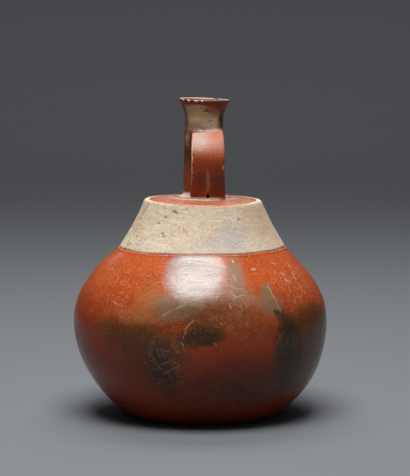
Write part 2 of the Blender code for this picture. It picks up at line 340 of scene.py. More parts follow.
def lower_body(steps):
    """The body's outer curve from its widest level to the base's corner: a quarter ellipse, cut off."""
    cut = math.acos(BASE_RADIUS / BELLY_RADIUS)
    depth = BELLY_HEIGHT / math.sin(cut)
    turns = evenly(0.0, cut, steps)
    return [(BELLY_RADIUS * math.cos(turn), BELLY_HEIGHT - depth * math.sin(turn)) for turn in turns]


def shoulder_curve(steps):
    """The shoulder from the top's edge down to the incised line: a cone pulled in between its ends."""
    points = []
    for share in evenly(0.0, 1.0, steps):
        hollow = SHOULDER_HOLLOW * 4.0 * share * (1.0 - share)
        radius = TOP_RADIUS + (LINE_RADIUS - TOP_RADIUS) * share - hollow
        points.append((radius, TOP_HEIGHT + (LINE_HEIGHT - TOP_HEIGHT) * share))
    return points


def top_height(radius):
    """Height of the low domed top at a distance from its middle."""
    return TOP_HEIGHT + TOP_RISE * (1.0 - (radius / TOP_RADIUS) ** 2)


def neck_radius(height):
    """Outer radius of the spout: a slow taper up to the throat, then a flare to the rim."""
    flare = max(height - FLARE_HEIGHT, 0.0) / (RIM_HEIGHT - LIP_ROUND - FLARE_HEIGHT)
    foot = 1.0 - smooth_step(height, TOP_HEIGHT, FLARE_HEIGHT)
    taper = (NECK_FOOT_RADIUS - THROAT_RADIUS) * foot
    return THROAT_RADIUS + taper + (RIM_RADIUS - THROAT_RADIUS) * min(flare, 1.0) ** FLARE_POWER


def bore_radius(height):
    """Inner radius of the spout, whose wall thins towards the rounded lip."""
    thinning = smooth_step(height, FLARE_HEIGHT, RIM_HEIGHT)
    return neck_radius(height) - NECK_WALL - (2.0 * LIP_ROUND - NECK_WALL) * thinning


def outside_outline():
    """The outside of the vessel, finely, from the top of the lip down to the middle of the base."""
    lip = arc((RIM_RADIUS - LIP_ROUND, RIM_HEIGHT - LIP_ROUND), LIP_ROUND, 90, -25, 16)
    foot_height = top_height(NECK_FOOT_RADIUS + NECK_FOOT_FILLET) + NECK_FOOT_FILLET
    neck = [(neck_radius(height), height) for height in evenly(RIM_HEIGHT - 0.0022, foot_height, 120)]
    fillet_middle = (neck_radius(foot_height) + NECK_FOOT_FILLET, foot_height)
    fillet = arc(fillet_middle, NECK_FOOT_FILLET, 180, 265, 12)
    top = [(radius, top_height(radius)) for radius in evenly(0.45 * TOP_RADIUS, 0.93 * TOP_RADIUS, 40)]
    top_facing = outward(top[-2], top[-1])
    shoulder = shoulder_curve(60)
    edge = rounded_corner((TOP_RADIUS, TOP_HEIGHT), top_facing, outward(*shoulder[:2]), TOP_EDGE_ROUND, 10)
    body = upper_body(200)[1:] + lower_body(200)[1:-1]
    base_edge = rounded_corner((BASE_RADIUS, 0.0), outward(*body[-2:]), -90.0, BASE_EDGE_ROUND, 20)
    base_top = base_edge[0][1]
    body = [point for point in body if point[1] > base_top]
    return lip + neck + fillet + top + edge + shoulder[4:] + body + base_edge + [(0.0, 0.0)]


def inside_outline():
    """The inside of the vessel, from the middle of the floor up to the top of the lip."""
    belly = inset(upper_body(60) + lower_body(60)[1:], WALL)
    shoulder = inset(shoulder_curve(30), WALL)[1:-1]
    radii = evenly(0.84 * TOP_RADIUS, 0.40 * TOP_RADIUS, 8)
    roof = [(radius, top_height(radius) - WALL) for radius in radii]
    foot = bore_radius(TOP_HEIGHT)
    edge_middle = (foot + BORE_EDGE_ROUND, top_height(foot) - WALL + BORE_EDGE_ROUND)
    edge = arc(edge_middle, BORE_EDGE_ROUND, 270, 180, 6)
    heights = evenly(TOP_HEIGHT + 0.004, RIM_HEIGHT - 2.0 * LIP_ROUND, 60)
    bore = [(bore_radius(height), height) for height in heights]
    lip = arc((RIM_RADIUS - LIP_ROUND, RIM_HEIGHT - LIP_ROUND), LIP_ROUND, 165, 90, 10)
    return [(0.0, FLOOR_WALL)] + belly[::-1] + shoulder[::-1] + roof + edge + bore + lip


def outside_spacing(radius, height):
    """How close together the rings of the outside are at a place on its outline."""
    if height > RIM_HEIGHT - FINE_REACH:
        return LIP_SPACING
    if height > TOP_HEIGHT and radius < 0.5 * TOP_RADIUS:
        return NECK_SPACING
    if abs(height - LINE_HEIGHT) < LINE_FINE_REACH:
        return LINE_SPACING
    if height > LINE_HEIGHT - FINE_REACH:
        return SHOULDER_SPACING
    return BODY_SPACING


def inside_spacing(radius, height):
    """How close together the rings of the inside are, finer where the mouth shows them."""
    return NECK_SPACING if height > RIM_HEIGHT - MOUTH_DEPTH else INSIDE_SPACING


def respaced(outline, spacing):
    """Points picked along an outline, as far apart as the spacing asks, with both its ends."""
    picked = [outline[0]]
    travelled = 0.0
    for before, point in zip(outline, outline[1:]):
        travelled += math.dist(before, point)
        if travelled >= spacing(*point):
            picked.append(point)
            travelled = 0.0
    if picked[-1] != outline[-1]:
        picked.append(outline[-1])
    return picked


OUTSIDE = outside_outline()


def wall_radius(height):
    """Outer radius of the body, shoulder or spout at a height."""
    for upper, lower in zip(OUTSIDE, OUTSIDE[1:]):
        if lower[1] <= height <= upper[1] and upper[1] > lower[1]:
            share = (upper[1] - height) / (upper[1] - lower[1])
            return upper[0] + (lower[0] - upper[0]) * share
    return RIM_RADIUS


def lean(height):
    """How far the hand-built vessel stands off its axis, along X, at a height."""
    base = BASE_LEAN * (1.0 - smooth_step(height, *BASE_LEAN_HEIGHTS))
    shoulder = SHOULDER_LEAN * smooth_step(height, *SHOULDER_LEAN_HEIGHTS)
    above = max(height - LINE_HEIGHT, 0.0) / (RIM_HEIGHT - LINE_HEIGHT)
    return base + shoulder + (RIM_LEAN - SHOULDER_LEAN) * above


def tilt(height):
    """How far the level at a height is tipped, lower towards +X."""
    top = TOP_TILT * smooth_step(height, LINE_HEIGHT, TOP_HEIGHT)
    return top + (RIM_TILT - TOP_TILT) * smooth_step(height, RIM_TILT_START, RIM_HEIGHT)


def on_wall(turn, height, proud=0.0):
    """The place on the outside at an angle from the front, in degrees, and a height."""
    angle = math.radians(turn)
    radius = wall_radius(height) + proud
    across = radius * math.sin(angle)
    tipped = height - across * math.tan(tilt(height))
    return Vector((across + lean(height), -radius * math.cos(angle), tipped))


def level_height(place):
    """The height that a point had before the vessel was tilted."""
    return place.z + (place.x - lean(place.z)) * math.tan(tilt(place.z))


def spun(shape, outline, steps, material_index):
    """Spin an outline once round the Z axis, into faces of one material."""
    corners = [shape.verts.new((radius, 0.0, height)) for radius, height in outline]
    edges = [shape.edges.new(pair) for pair in zip(corners, corners[1:])]
    older = set(shape.faces)
    bmesh.ops.spin(shape, geom=corners + edges, cent=(0, 0, 0), axis=(0, 0, 1), angle=math.tau,
                   steps=steps, use_merge=True)
    for face in set(shape.faces) - older:
        face.material_index = material_index


def turned_vessel(sizes):
    """The hollow vessel, turned true: burnished outside and bare inside."""
    shape = bmesh.new()
    spun(shape, respaced(OUTSIDE, outside_spacing), sizes.turn_steps, 0)
    spun(shape, respaced(inside_outline(), inside_spacing), sizes.turn_steps, 1)
    bmesh.ops.remove_doubles(shape, verts=shape.verts, dist=WELD)
    bmesh.ops.recalc_face_normals(shape, faces=shape.faces)
    shape.normal_update()
    return shape


def set_by_hand(shape, unevenness):
    """Give the true vessel the swellings, lean and tilt of hand building."""
    moved = {}
    for corner in shape.verts:
        height = corner.co.z
        broad = noise.noise(corner.co / BROAD_SWELLING) + 0.45 * noise.noise(corner.co / SMALL_SWELLING)
        slender = smooth_step(height, TOP_HEIGHT - 0.01, TOP_HEIGHT + 0.01)
        amount = unevenness * broad * (1.0 - 0.65 * slender)
        leftward = bell(corner.co.normalized().x + 1.0, 0.9)
        side = leftward * bell(height - SIDE_SWELLING_HEIGHT, SIDE_SWELLING_REACH)
        place = corner.co + corner.normal * (amount + SIDE_SWELLING * side)
        if height < FOOT_FLAT:
            place.z = height
        across = place.x
        place.x = across + lean(height)
        place.z -= across * math.tan(tilt(height))
        moved[corner] = place
    for corner, place in moved.items():
        corner.co = place


def section_height(share):
    """Half thickness of the strap at a share of its half width, as a share of the middle's."""
    return (1.0 - abs(share) ** CROWN_POWERS[0]) ** CROWN_POWERS[1] if abs(share) < 1.0 else 0.0


def extruded(shape, edges):
    """Extrude a loop of edges, and give the new loop's corners and edges."""
    made = bmesh.ops.extrude_edge_only(shape, edges=edges)["geom"]
    ring = [part for part in made if isinstance(part, bmesh.types.BMVert)]
    rims = set(ring)
    return ring, [part for part in made if isinstance(part, bmesh.types.BMEdge) and set(part.verts) <= rims]


def strap_shape():
    """The strap handle: a flat, crowned ring drawn along a bow from the spout down to the top."""
    strap = bmesh.new()
    ring = bmesh.ops.create_circle(strap, segments=STRAP_SEGMENTS, radius=1.0)["verts"]
    for corner in ring:
        corner.co.y = math.copysign(section_height(corner.co.x), corner.co.y)
    upper = bend(STRAP_ROOT, STRAP_ROOT_PULL, STRAP_BEND_PULLS[0], STRAP_BEND, STRAP_STEPS[0])
    line = upper + bend(STRAP_BEND, STRAP_BEND_PULLS[1], STRAP_FOOT_PULL, STRAP_FOOT, STRAP_STEPS[1])[1:]
    last = len(line) - 1
    before = Matrix.Identity(4)
    edges = list(strap.edges)
    for step, place in enumerate(line):
        share = step / last
        at_root = (STRAP_ROOT_SPREAD - 1.0) * bell(share, SPREAD_REACHES[0])
        spread = 1.0 + at_root + (STRAP_FOOT_SPREAD - 1.0) * bell(1 - share, SPREAD_REACHES[1])
        ahead = line[min(step + 1, last)]
        behind = line[max(step - 1, 0)]
        slope = math.atan2(ahead[1] - behind[1], ahead[0] - behind[0])
        facing = Matrix.Rotation(-slope - 0.5 * math.pi, 4, "X")
        section = Matrix.Diagonal((0.5 * STRAP_WIDTH * spread, 0.5 * STRAP_THICKNESS, 1.0, 1.0))
        now = Matrix.Translation((0.0, -place[0], place[1])) @ facing @ section
        if step > 0:
            ring, edges = extruded(strap, edges)
        bmesh.ops.transform(strap, matrix=now @ before.inverted(), verts=ring)
        before = now
    bmesh.ops.holes_fill(strap, edges=strap.edges, sides=0)
    aside = Matrix.Translation((lean(STRAP_BEND[1]) + STRAP_ASIDE, 0.0, 0.0))
    bmesh.ops.transform(strap, matrix=aside @ Matrix.Rotation(STRAP_TURN, 4, "Z"), verts=strap.verts)
    bmesh.ops.recalc_face_normals(strap, faces=strap.faces)
    return strap


def spout_core():
    """A rod inside the spout's wall, which ends the strap's root there."""
    rod = bmesh.new()
    radius = THROAT_RADIUS - 0.5 * NECK_WALL
    place = Matrix.Translation((lean(STRAP_ROOT[1]), 0.0, STRAP_ROOT[1]))
    bmesh.ops.create_cone(rod, cap_ends=True, segments=96, radius1=radius, radius2=radius, depth=0.05,
                          matrix=place)
    return rod


def foot_hole():
    """The drop-shaped hole, pointed at its top and pushed down into the clay of the strap's foot."""
    drop = bmesh.new()
    outside = 0.01
    radius = 0.5 * HOLE_WIDTH
    bmesh.ops.create_cone(drop, cap_ends=True, segments=24, radius1=0.75 * radius, radius2=1.1 * radius,
                          depth=HOLE_DEPTH + outside)
    for corner in drop.verts:
        corner.co.z -= 0.5 * (outside - HOLE_DEPTH)
        if corner.co.y < 0.0:
            share = -corner.co.y / radius
            corner.co.y = (radius - HOLE_LENGTH) * share
            corner.co.x *= 1.0 - 0.3 * share
    away, height = HOLE_PLACE
    middle = lean(STRAP_BEND[1]) + STRAP_ASIDE
    place = Vector((middle + away * math.sin(STRAP_TURN), -away * math.cos(STRAP_TURN), height))
    turn = Matrix.Rotation(STRAP_TURN, 4, "Z") @ Matrix.Rotation(-0.5 * math.pi - HOLE_DOWNWARD, 4, "X")
    bmesh.ops.transform(drop, matrix=Matrix.Translation(place) @ turn, verts=drop.verts)
    return drop


def linked(name, shape):
    """A new object in the scene, made from a bmesh, which is freed."""
    mesh = bpy.data.meshes.new(name)
    shape.to_mesh(mesh)
    shape.free()
    made = bpy.data.objects.new(name, mesh)
    bpy.context.scene.collection.objects.link(made)
    return made


def combined(base, other, operation):
    """The bmesh of one shape joined with, or cut by, another."""
    first = linked("first", base)
    second = linked("second", other)
    step = first.modifiers.new("Combine", "BOOLEAN")
    step.operation = operation
    step.solver = "EXACT"
    step.object = second
    graph = bpy.context.evaluated_depsgraph_get()
    result = bmesh.new()
    result.from_object(first, graph)
    for done in (first, second):
        data = done.data
        bpy.data.objects.remove(done)
        bpy.data.meshes.remove(data)
    bmesh.ops.remove_doubles(result, verts=result.verts, dist=WELD)
    return result


def near_strap(place):
    """Whether a point is on the top, spout or strap, where the joints are smeared."""
    return place.z > TOP_HEIGHT - 0.001 and math.hypot(place.x, place.y) < 0.9 * TOP_RADIUS


def soften_seams(shape, reach):
    """Round off the creases where the strap meets the vessel, as wet clay smeared with a finger."""
    shape.normal_update()
    seam = set()
    for edge in shape.edges:
        creased = edge.is_manifold and edge.calc_face_angle_signed(0.0) < -SEAM_CREASE
        if creased and near_strap(edge.verts[0].co) and near_strap(edge.verts[1].co):
            seam.update(edge.verts)
    finder = kdtree.KDTree(len(seam))
    for place, corner in enumerate(seam):
        finder.insert(corner.co, place)
    finder.balance()
    nearest = {corner: finder.find(corner.co)[2] for corner in shape.verts if near_strap(corner.co)}
    for step in range(SEAM_ROUNDS):
        foot_limit = reach * (1.0 - 0.8 * step / SEAM_ROUNDS)
        root_limit = ROOT_SHARE * foot_limit
        chosen = [corner for corner, distance in nearest.items()
                  if distance < (root_limit if corner.co.z > STRAP_BEND[1] else foot_limit)]
        bmesh.ops.smooth_vert(shape, verts=chosen, factor=0.5, use_axis_x=True, use_axis_y=True,
                              use_axis_z=True)


def line_level(place, wander):
    """Height of the hand-drawn incised line at the side of a point."""
    angle = math.atan2(place.x, -place.y)
    waves = math.sin(2.0 * angle + 0.6) + 0.6 * math.sin(5.0 * angle + 1.9) + 0.4 * math.sin(11.0 * angle)
    return LINE_HEIGHT + 0.5 * wander * waves


def incise_line(shape, sizes):
    """Press the line into the wall below the shoulder, with the clay that it pushed up on its lower side."""
    layer = shape.verts.layers.float.new("line")
    side = shape.verts.layers.float.new("above_line")
    shape.normal_update()
    half = 0.5 * sizes.line_width
    for corner in shape.verts:
        radius = math.hypot(corner.co.x, corner.co.y)
        off = (level_height(corner.co) - line_level(corner.co, sizes.line_wander)) * LINE_SLOPE
        corner[side] = min(max(0.5 + off / SIDE_BAND, 0.0), 1.0)
        if abs(off) > LINE_REACH or radius < LINE_RADIUS - 0.5 * WALL:
            continue
        pressing = 0.75 + 0.5 * noise.noise(corner.co / 0.011)
        groove = math.exp(-(off / half) ** 2)
        burr = math.exp(-((off + 2.1 * half) / (1.1 * half)) ** 2)
        corner[layer] = min(1.0, groove * (0.65 + 0.5 * pressing))
        corner.co += corner.normal * (BURR * burr - groove * pressing) * sizes.line_depth


def split_near(shape, places, cuts):
    """Divide the faces near each touch finely enough to hold it."""
    chosen = []
    for edge in shape.edges:
        middle = 0.5 * (edge.verts[0].co + edge.verts[1].co)
        if any((middle - place).length < 1.7 * reach for place, reach in places):
            chosen.append(edge)
    bmesh.ops.subdivide_edges(shape, edges=chosen, cuts=cuts, use_grid_fill=True)


def press(shape, touches, layer_name, cuts):
    """Dent the wall at each touch, and note on the vertices where the dents are."""
    if layer_name not in shape.verts.layers.float:
        shape.verts.layers.float.new(layer_name)
    places = [(on_wall(turn, height), reach) for turn, height, reach, depth in touches]
    split_near(shape, places, cuts)
    layer = shape.verts.layers.float.get(layer_name)
    shape.normal_update()
    for (place, reach), touch in zip(places, touches):
        for corner in shape.verts:
            gap = corner.co - place
            if gap.length > 2.0 * reach:
                continue
            ragged = gap.length * (1.0 + RAGGEDNESS * noise.noise(corner.co / RAGGED_WIDTH))
            amount = bell(ragged, 1.5 * reach)
            corner[layer] = max(corner[layer], amount)
            corner.co -= corner.normal * touch[3] * amount


def tidy_faces(shape):
    """Leave only triangles and four-sided faces, with no slivers, and drop what is loose."""
    bmesh.ops.dissolve_degenerate(shape, edges=shape.edges, dist=0.000005)
    many = [face for face in shape.faces if len(face.verts) > 4]
    bmesh.ops.triangulate(shape, faces=many)
    loose = [corner for corner in shape.verts if not corner.link_faces]
    bmesh.ops.delete(shape, geom=loose, context="VERTS")


class CLAYBOTTLE_OT_model(bpy.types.Operator):
    """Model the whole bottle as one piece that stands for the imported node"""
    bl_idname = "clay_bottle.model"
    bl_label = "Model the bottle"

    def execute(self, context):
        sizes = context.scene.clay_bottle_sizes
        vessel = turned_vessel(sizes)
        set_by_hand(vessel, sizes.unevenness)
        strap = combined(strap_shape(), spout_core(), "DIFFERENCE")
        joined = combined(vessel, strap, "UNION")
        tidy_faces(joined)
        soften_seams(joined, sizes.seam_reach)
        joined = combined(joined, foot_hole(), "DIFFERENCE")
        tidy_faces(joined)
        incise_line(joined, sizes)
        press(joined, SMEARS, "smears", 1)
        press(joined, LIP_CHIPS, "chips", 1)
        press(joined, NECK_PITS, "pits", 2)
        press(joined, SHOULDER_PITS, "pits", 3)
        tidy_faces(joined)
        open_edges = [edge for edge in joined.edges if not edge.is_manifold]
        if open_edges:
            raise RuntimeError(f"the bottle has {len(open_edges)} open edges")
        bottle = linked("bottle", joined)
        bottle.data.shade_smooth()
        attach(bottle, "root")
        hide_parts(NODE)
        return {"FINISHED"}


class Nodes:
    """Adds nodes to a tree, each fed with values or with the sockets of earlier nodes."""

    def __init__(self, tree, colours=None):
        self.tree = tree
        self.colours = colours
        self.count = 0

    def add(self, kind, feeds=None, **settings):
        """A node of a kind, with its settings and what feeds its sockets."""
        node = self.tree.nodes.new(kind)
        node.location = (190 * (self.count // 8), -180 * (self.count % 8))
        self.count += 1
        for name, value in settings.items():
            setattr(node, name, value)
        for socket, value in (feeds or {}).items():
            self.feed(node.inputs[socket], value)
        return node

    def feed(self, socket, value):
        """Link a socket to an earlier one, or give it a value."""
        if isinstance(value, bpy.types.NodeSocket):
            self.tree.links.new(value, socket)
        else:
            socket.default_value = value

    def calc(self, operation, first, second=0.0):
        """The result of a sum on one or two numbers."""
        return self.add("ShaderNodeMath", {0: first, 1: second}, operation=operation).outputs[0]

    def times(self, first, *others):
        """A number multiplied by others in turn."""
        for other in others:
            first = self.calc("MULTIPLY", first, other)
        return first

    def plus(self, first, *others):
        """A number with others added in turn."""
        for other in others:
            first = self.calc("ADD", first, other)
        return first

    def swing(self, field, amount):
        """A random field turned into a number that swings about nothing."""
        return self.times(self.calc("SUBTRACT", field, 0.5), amount)

    def vector(self, operation, first, second):
        """The result of a sum on two vectors."""
        return self.add("ShaderNodeVectorMath", {0: first, 1: second}, operation=operation).outputs[0]

    def length(self, place):
        """How long a vector is."""
        return self.add("ShaderNodeVectorMath", {0: place}, operation="LENGTH").outputs["Value"]

    def rotated(self, place, axis, angle):
        """A vector turned about an axis."""
        feeds = {"Vector": place, "Angle": angle}
        return self.add("ShaderNodeVectorRotate", feeds, rotation_type=axis).outputs[0]

    def rise(self, value, low, high, top=1.0):
        """A smooth rise from 0 at low to a top value at high; it falls if low is above high."""
        feeds = {0: value, 1: low, 2: high, 4: top}
        return self.add("ShaderNodeMapRange", feeds, interpolation_type="SMOOTHSTEP").outputs[0]

    def between(self, value, rising, falling):
        """A band over a value: a smooth rise times a smooth fall, each with its two ends."""
        return self.times(self.rise(value, *rising), self.rise(value, *falling))

    def most(self, first, second):
        """The greater of two numbers."""
        return self.calc("MAXIMUM", first, second)

    def cloudy(self, place, scale, detail, roughness, output="Fac"):
        """Soft random variation, of a scale per metre."""
        feeds = {"Vector": place, "Scale": scale, "Detail": detail, "Roughness": roughness}
        return self.add("ShaderNodeTexNoise", feeds).outputs[output]

    def strayed(self, place, scale, distance, detail=5.0):
        """Places moved about at random, so that what is drawn there gets ragged."""
        stray = self.vector("SUBTRACT", self.cloudy(place, scale, detail, 0.6, "Color"), (0.5, 0.5, 0.5))
        return self.vector("ADD", place, self.vector("MULTIPLY", stray, (distance,) * 3))

    def mask(self, group, *feeds):
        """The output of a node group that is fed in the order of its inputs."""
        return self.add("ShaderNodeGroup", dict(enumerate(feeds)), node_tree=group).outputs[0]

    def named(self, name):
        """One of the bottle's colours, as sockets take it."""
        return rgba(getattr(self.colours, name))

    def blend(self, first, second, share):
        """Two colours mixed, with a share of the second."""
        feeds = {0: share, 6: first, 7: second}
        return self.add("ShaderNodeMix", feeds, data_type="RGBA").outputs[2]

    def coated(self, colour, *coats):
        """A colour under coats of others. Each has a name, then its share or a field and how it rises."""
        for name, share, *rise in coats:
            share = self.rise(share, *rise) if rise else share
            colour = self.blend(colour, self.named(name), share)
        return colour


def rgba(colour):
    """A colour with full alpha, as sockets take it."""
    return (*colour, 1.0)


def new_group(name, inputs):
    """An empty node group with named inputs and one mask to feed, and its node adder and inner sockets."""
    group = bpy.data.node_groups.new(name, "ShaderNodeTree")
    for label in inputs:
        kind = "NodeSocketVector" if label in ("Position", "Place", "Size of oval") else "NodeSocketFloat"
        group.interface.new_socket(label, in_out="INPUT", socket_type=kind)
    group.interface.new_socket("Mask", in_out="OUTPUT", socket_type="NodeSocketFloat")
    nodes = Nodes(group)
    return group, nodes, nodes.add("NodeGroupInput").outputs, nodes.add("NodeGroupOutput").inputs[0]


def patch_group():
    """A soft-edged oval on the wall: fire clouds, stains, worn spots and thin marks, and some painted
    highlights and shade.
    """
    inputs = ("Position", "Place", "Turn", "Lean", "Size of oval", "Softness", "Strength")
    group, nodes, given, mask = new_group("Patch", inputs)
    offset = nodes.vector("SUBTRACT", given["Position"], given["Place"])
    facing = nodes.rotated(offset, "Z_AXIS", nodes.times(given["Turn"], -1.0))
    leaned = nodes.rotated(facing, "Y_AXIS", given["Lean"])
    away = nodes.length(nodes.vector("DIVIDE", leaned, given["Size of oval"]))
    inner = nodes.calc("SUBTRACT", 1.0, given["Softness"])
    outer = nodes.plus(1.0, given["Softness"])
    nodes.feed(mask, nodes.rise(away, outer, inner, given["Strength"]))
    return group


def root_mark_group():
    """Broken, wandering lines that roots etched, where a soft random field crosses its middle."""
    group, nodes, given, mask = new_group("Root marks", ("Position", "Scale", "Width", "Cover"))
    field = nodes.cloudy(given["Position"], given["Scale"], 2.0, 0.5)
    line = nodes.rise(nodes.calc("ABSOLUTE", nodes.calc("SUBTRACT", field, 0.5)), given["Width"], 0.0)
    gaps = nodes.cloudy(given["Position"], 210.0, 3.0, 0.6)
    limit = nodes.calc("SUBTRACT", 1.0, given["Cover"])
    kept = nodes.rise(gaps, nodes.calc("SUBTRACT", limit, 0.05), nodes.plus(limit, 0.05))
    nodes.feed(mask, nodes.times(line, kept))
    return group


def speck_group():
    """Small separate specks and pits, of a size and share of the cells."""
    group, nodes, given, mask = new_group("Specks", ("Position", "Scale", "Size", "Cover"))
    strayed = nodes.strayed(given["Position"], 900.0, 0.0012, 2.0)
    cells = nodes.add("ShaderNodeTexVoronoi", {"Vector": strayed, "Scale": given["Scale"]})
    spot = nodes.rise(cells.outputs["Distance"], given["Size"], nodes.times(given["Size"], 0.45))
    pick = nodes.add("ShaderNodeSeparateColor", {0: cells.outputs["Color"]}).outputs[0]
    nodes.feed(mask, nodes.times(spot, nodes.calc("LESS_THAN", pick, given["Cover"])))
    return group


# Fire clouds on the body: (colour, turn, height, half width, half height, lean, softness, strength)
FIRE_CLOUDS = (
    ("deep_red", 46, 0.096, 0.03, 0.008, 0, 0.7, 0.4), ("deep_red", -62, 0.093, 0.026, 0.01, 0, 0.7, 0.35),
    ("umber", -22, 0.061, 0.03, 0.02, 0, 0.5, 0.8), ("umber", -36, 0.074, 0.032, 0.0095, 0, 0.35, 0.9),
    ("smoke", -30, 0.07, 0.03, 0.0105, 0, 0.45, 0.75), ("ochre", -24, 0.097, 0.01, 0.01, 25, 0.6, 0.6),
    ("ochre", -30, 0.085, 0.02, 0.0045, 0, 0.6, 0.45), ("tan", -8, 0.0965, 0.019, 0.008, 0, 0.35, 0.92),
    ("smoke", -8, 0.088, 0.018, 0.0085, 0, 0.5, 0.62), ("olive", -12, 0.09, 0.015, 0.006, 0, 0.5, 0.7),
    # Grey and tan smoke under the body's highlight, painted pale and sized to it: partly painted highlight
    ("grey", -2.5, 0.115, 0.02, 0.016, 0, 0.35, 0.85), ("tan", 0, 0.112, 0.019, 0.015, 0, 0.6, 0.6),
    ("soot", 2, 0.0755, 0.0138, 0.0088, 0, 0.35, 0.92), ("soot", 3, 0.0762, 0.0105, 0.0068, 0, 0.4, 0.8),
    ("soot", -5, 0.0705, 0.0078, 0.006, 0, 0.4, 0.85), ("smoke", -21, 0.056, 0.02, 0.02, 0, 0.5, 0.7),
    ("soot", -17.5, 0.044, 0.0105, 0.019, 8, 0.45, 0.75), ("tan", 21, 0.118, 0.0056, 0.0085, 0, 0.75, 0.85),
    ("tan", 19.5, 0.106, 0.0075, 0.009, 0, 0.75, 0.8), ("tan", 22, 0.0965, 0.012, 0.006, 0, 0.6, 0.6),
    ("tan", 11, 0.099, 0.012, 0.006, 0, 0.6, 0.7), ("umber", 14, 0.0895, 0.022, 0.0095, 0, 0.5, 0.8),
    ("smoke", 7, 0.0875, 0.024, 0.009, 0, 0.6, 0.65), ("umber", 22, 0.079, 0.0215, 0.0125, 0, 0.5, 0.75),
    ("olive", 33.5, 0.101, 0.0052, 0.008, -22, 0.25, 0.95),
    ("olive", 35, 0.0925, 0.0098, 0.0072, -12, 0.35, 0.9), ("smoke", 57, 0.06, 0.03, 0.027, 0, 0.5, 0.55),
    ("soot", 41, 0.069, 0.007, 0.02, 0, 0.6, 0.8), ("soot", 43, 0.055, 0.0125, 0.031, 3, 0.35, 0.88),
    ("soot", 37.5, 0.0863, 0.005, 0.0036, 0, 0.5, 0.9), ("soot", 6, 0.025, 0.031, 0.017, 0, 0.6, 0.5),
    ("soot", 36, 0.031, 0.031, 0.015, 0, 0.6, 0.55), ("smoke", 22, 0.044, 0.03, 0.012, 0, 0.6, 0.45),
    ("smoke", 84, 0.06, 0.022, 0.026, 0, 0.5, 0.6), ("smoke", -75, 0.04, 0.02, 0.022, 0, 0.7, 0.45),
    ("soot", 128, 0.066, 0.024, 0.02, 20, 0.5, 0.85), ("tan", 137, 0.096, 0.018, 0.01, 10, 0.4, 0.75),
    ("smoke", 150, 0.045, 0.032, 0.022, 0, 0.5, 0.7), ("smoke", -132, 0.07, 0.036, 0.02, -14, 0.4, 0.7),
    ("soot", -142, 0.048, 0.018, 0.016, 0, 0.5, 0.8), ("olive", -118, 0.098, 0.016, 0.01, 0, 0.4, 0.75),
    ("umber", 175, 0.082, 0.03, 0.012, 0, 0.5, 0.7),
)

# Dark ovals with a sharp edge
SHARP_DARK_PATCHES = (
    ("umber", 60, 0.0575, 0.0425, 0.0335, 0, 0.06, 0.92), ("smoke", 60, 0.056, 0.041, 0.0325, 0, 0.14, 0.7),
    ("smoke", 146, 0.07, 0.02, 0.018, 15, 0.1, 0.7),
)

# Red slip that the smoke did not reach
RED_SPOTS = (
    ("red", 1, 0.0575, 0.0085, 0.0095, 15, 0.55, 0.42), ("red", -4, 0.047, 0.007, 0.006, 0, 0.6, 0.3),
    ("red", 25, 0.066, 0.011, 0.006, 0, 0.6, 0.35), ("orange", 30, 0.1098, 0.0088, 0.0044, 0, 0.4, 0.55),
    ("red", 170, 0.064, 0.014, 0.008, 0, 0.6, 0.5), ("red", -100, 0.056, 0.016, 0.01, 0, 0.6, 0.35),
)

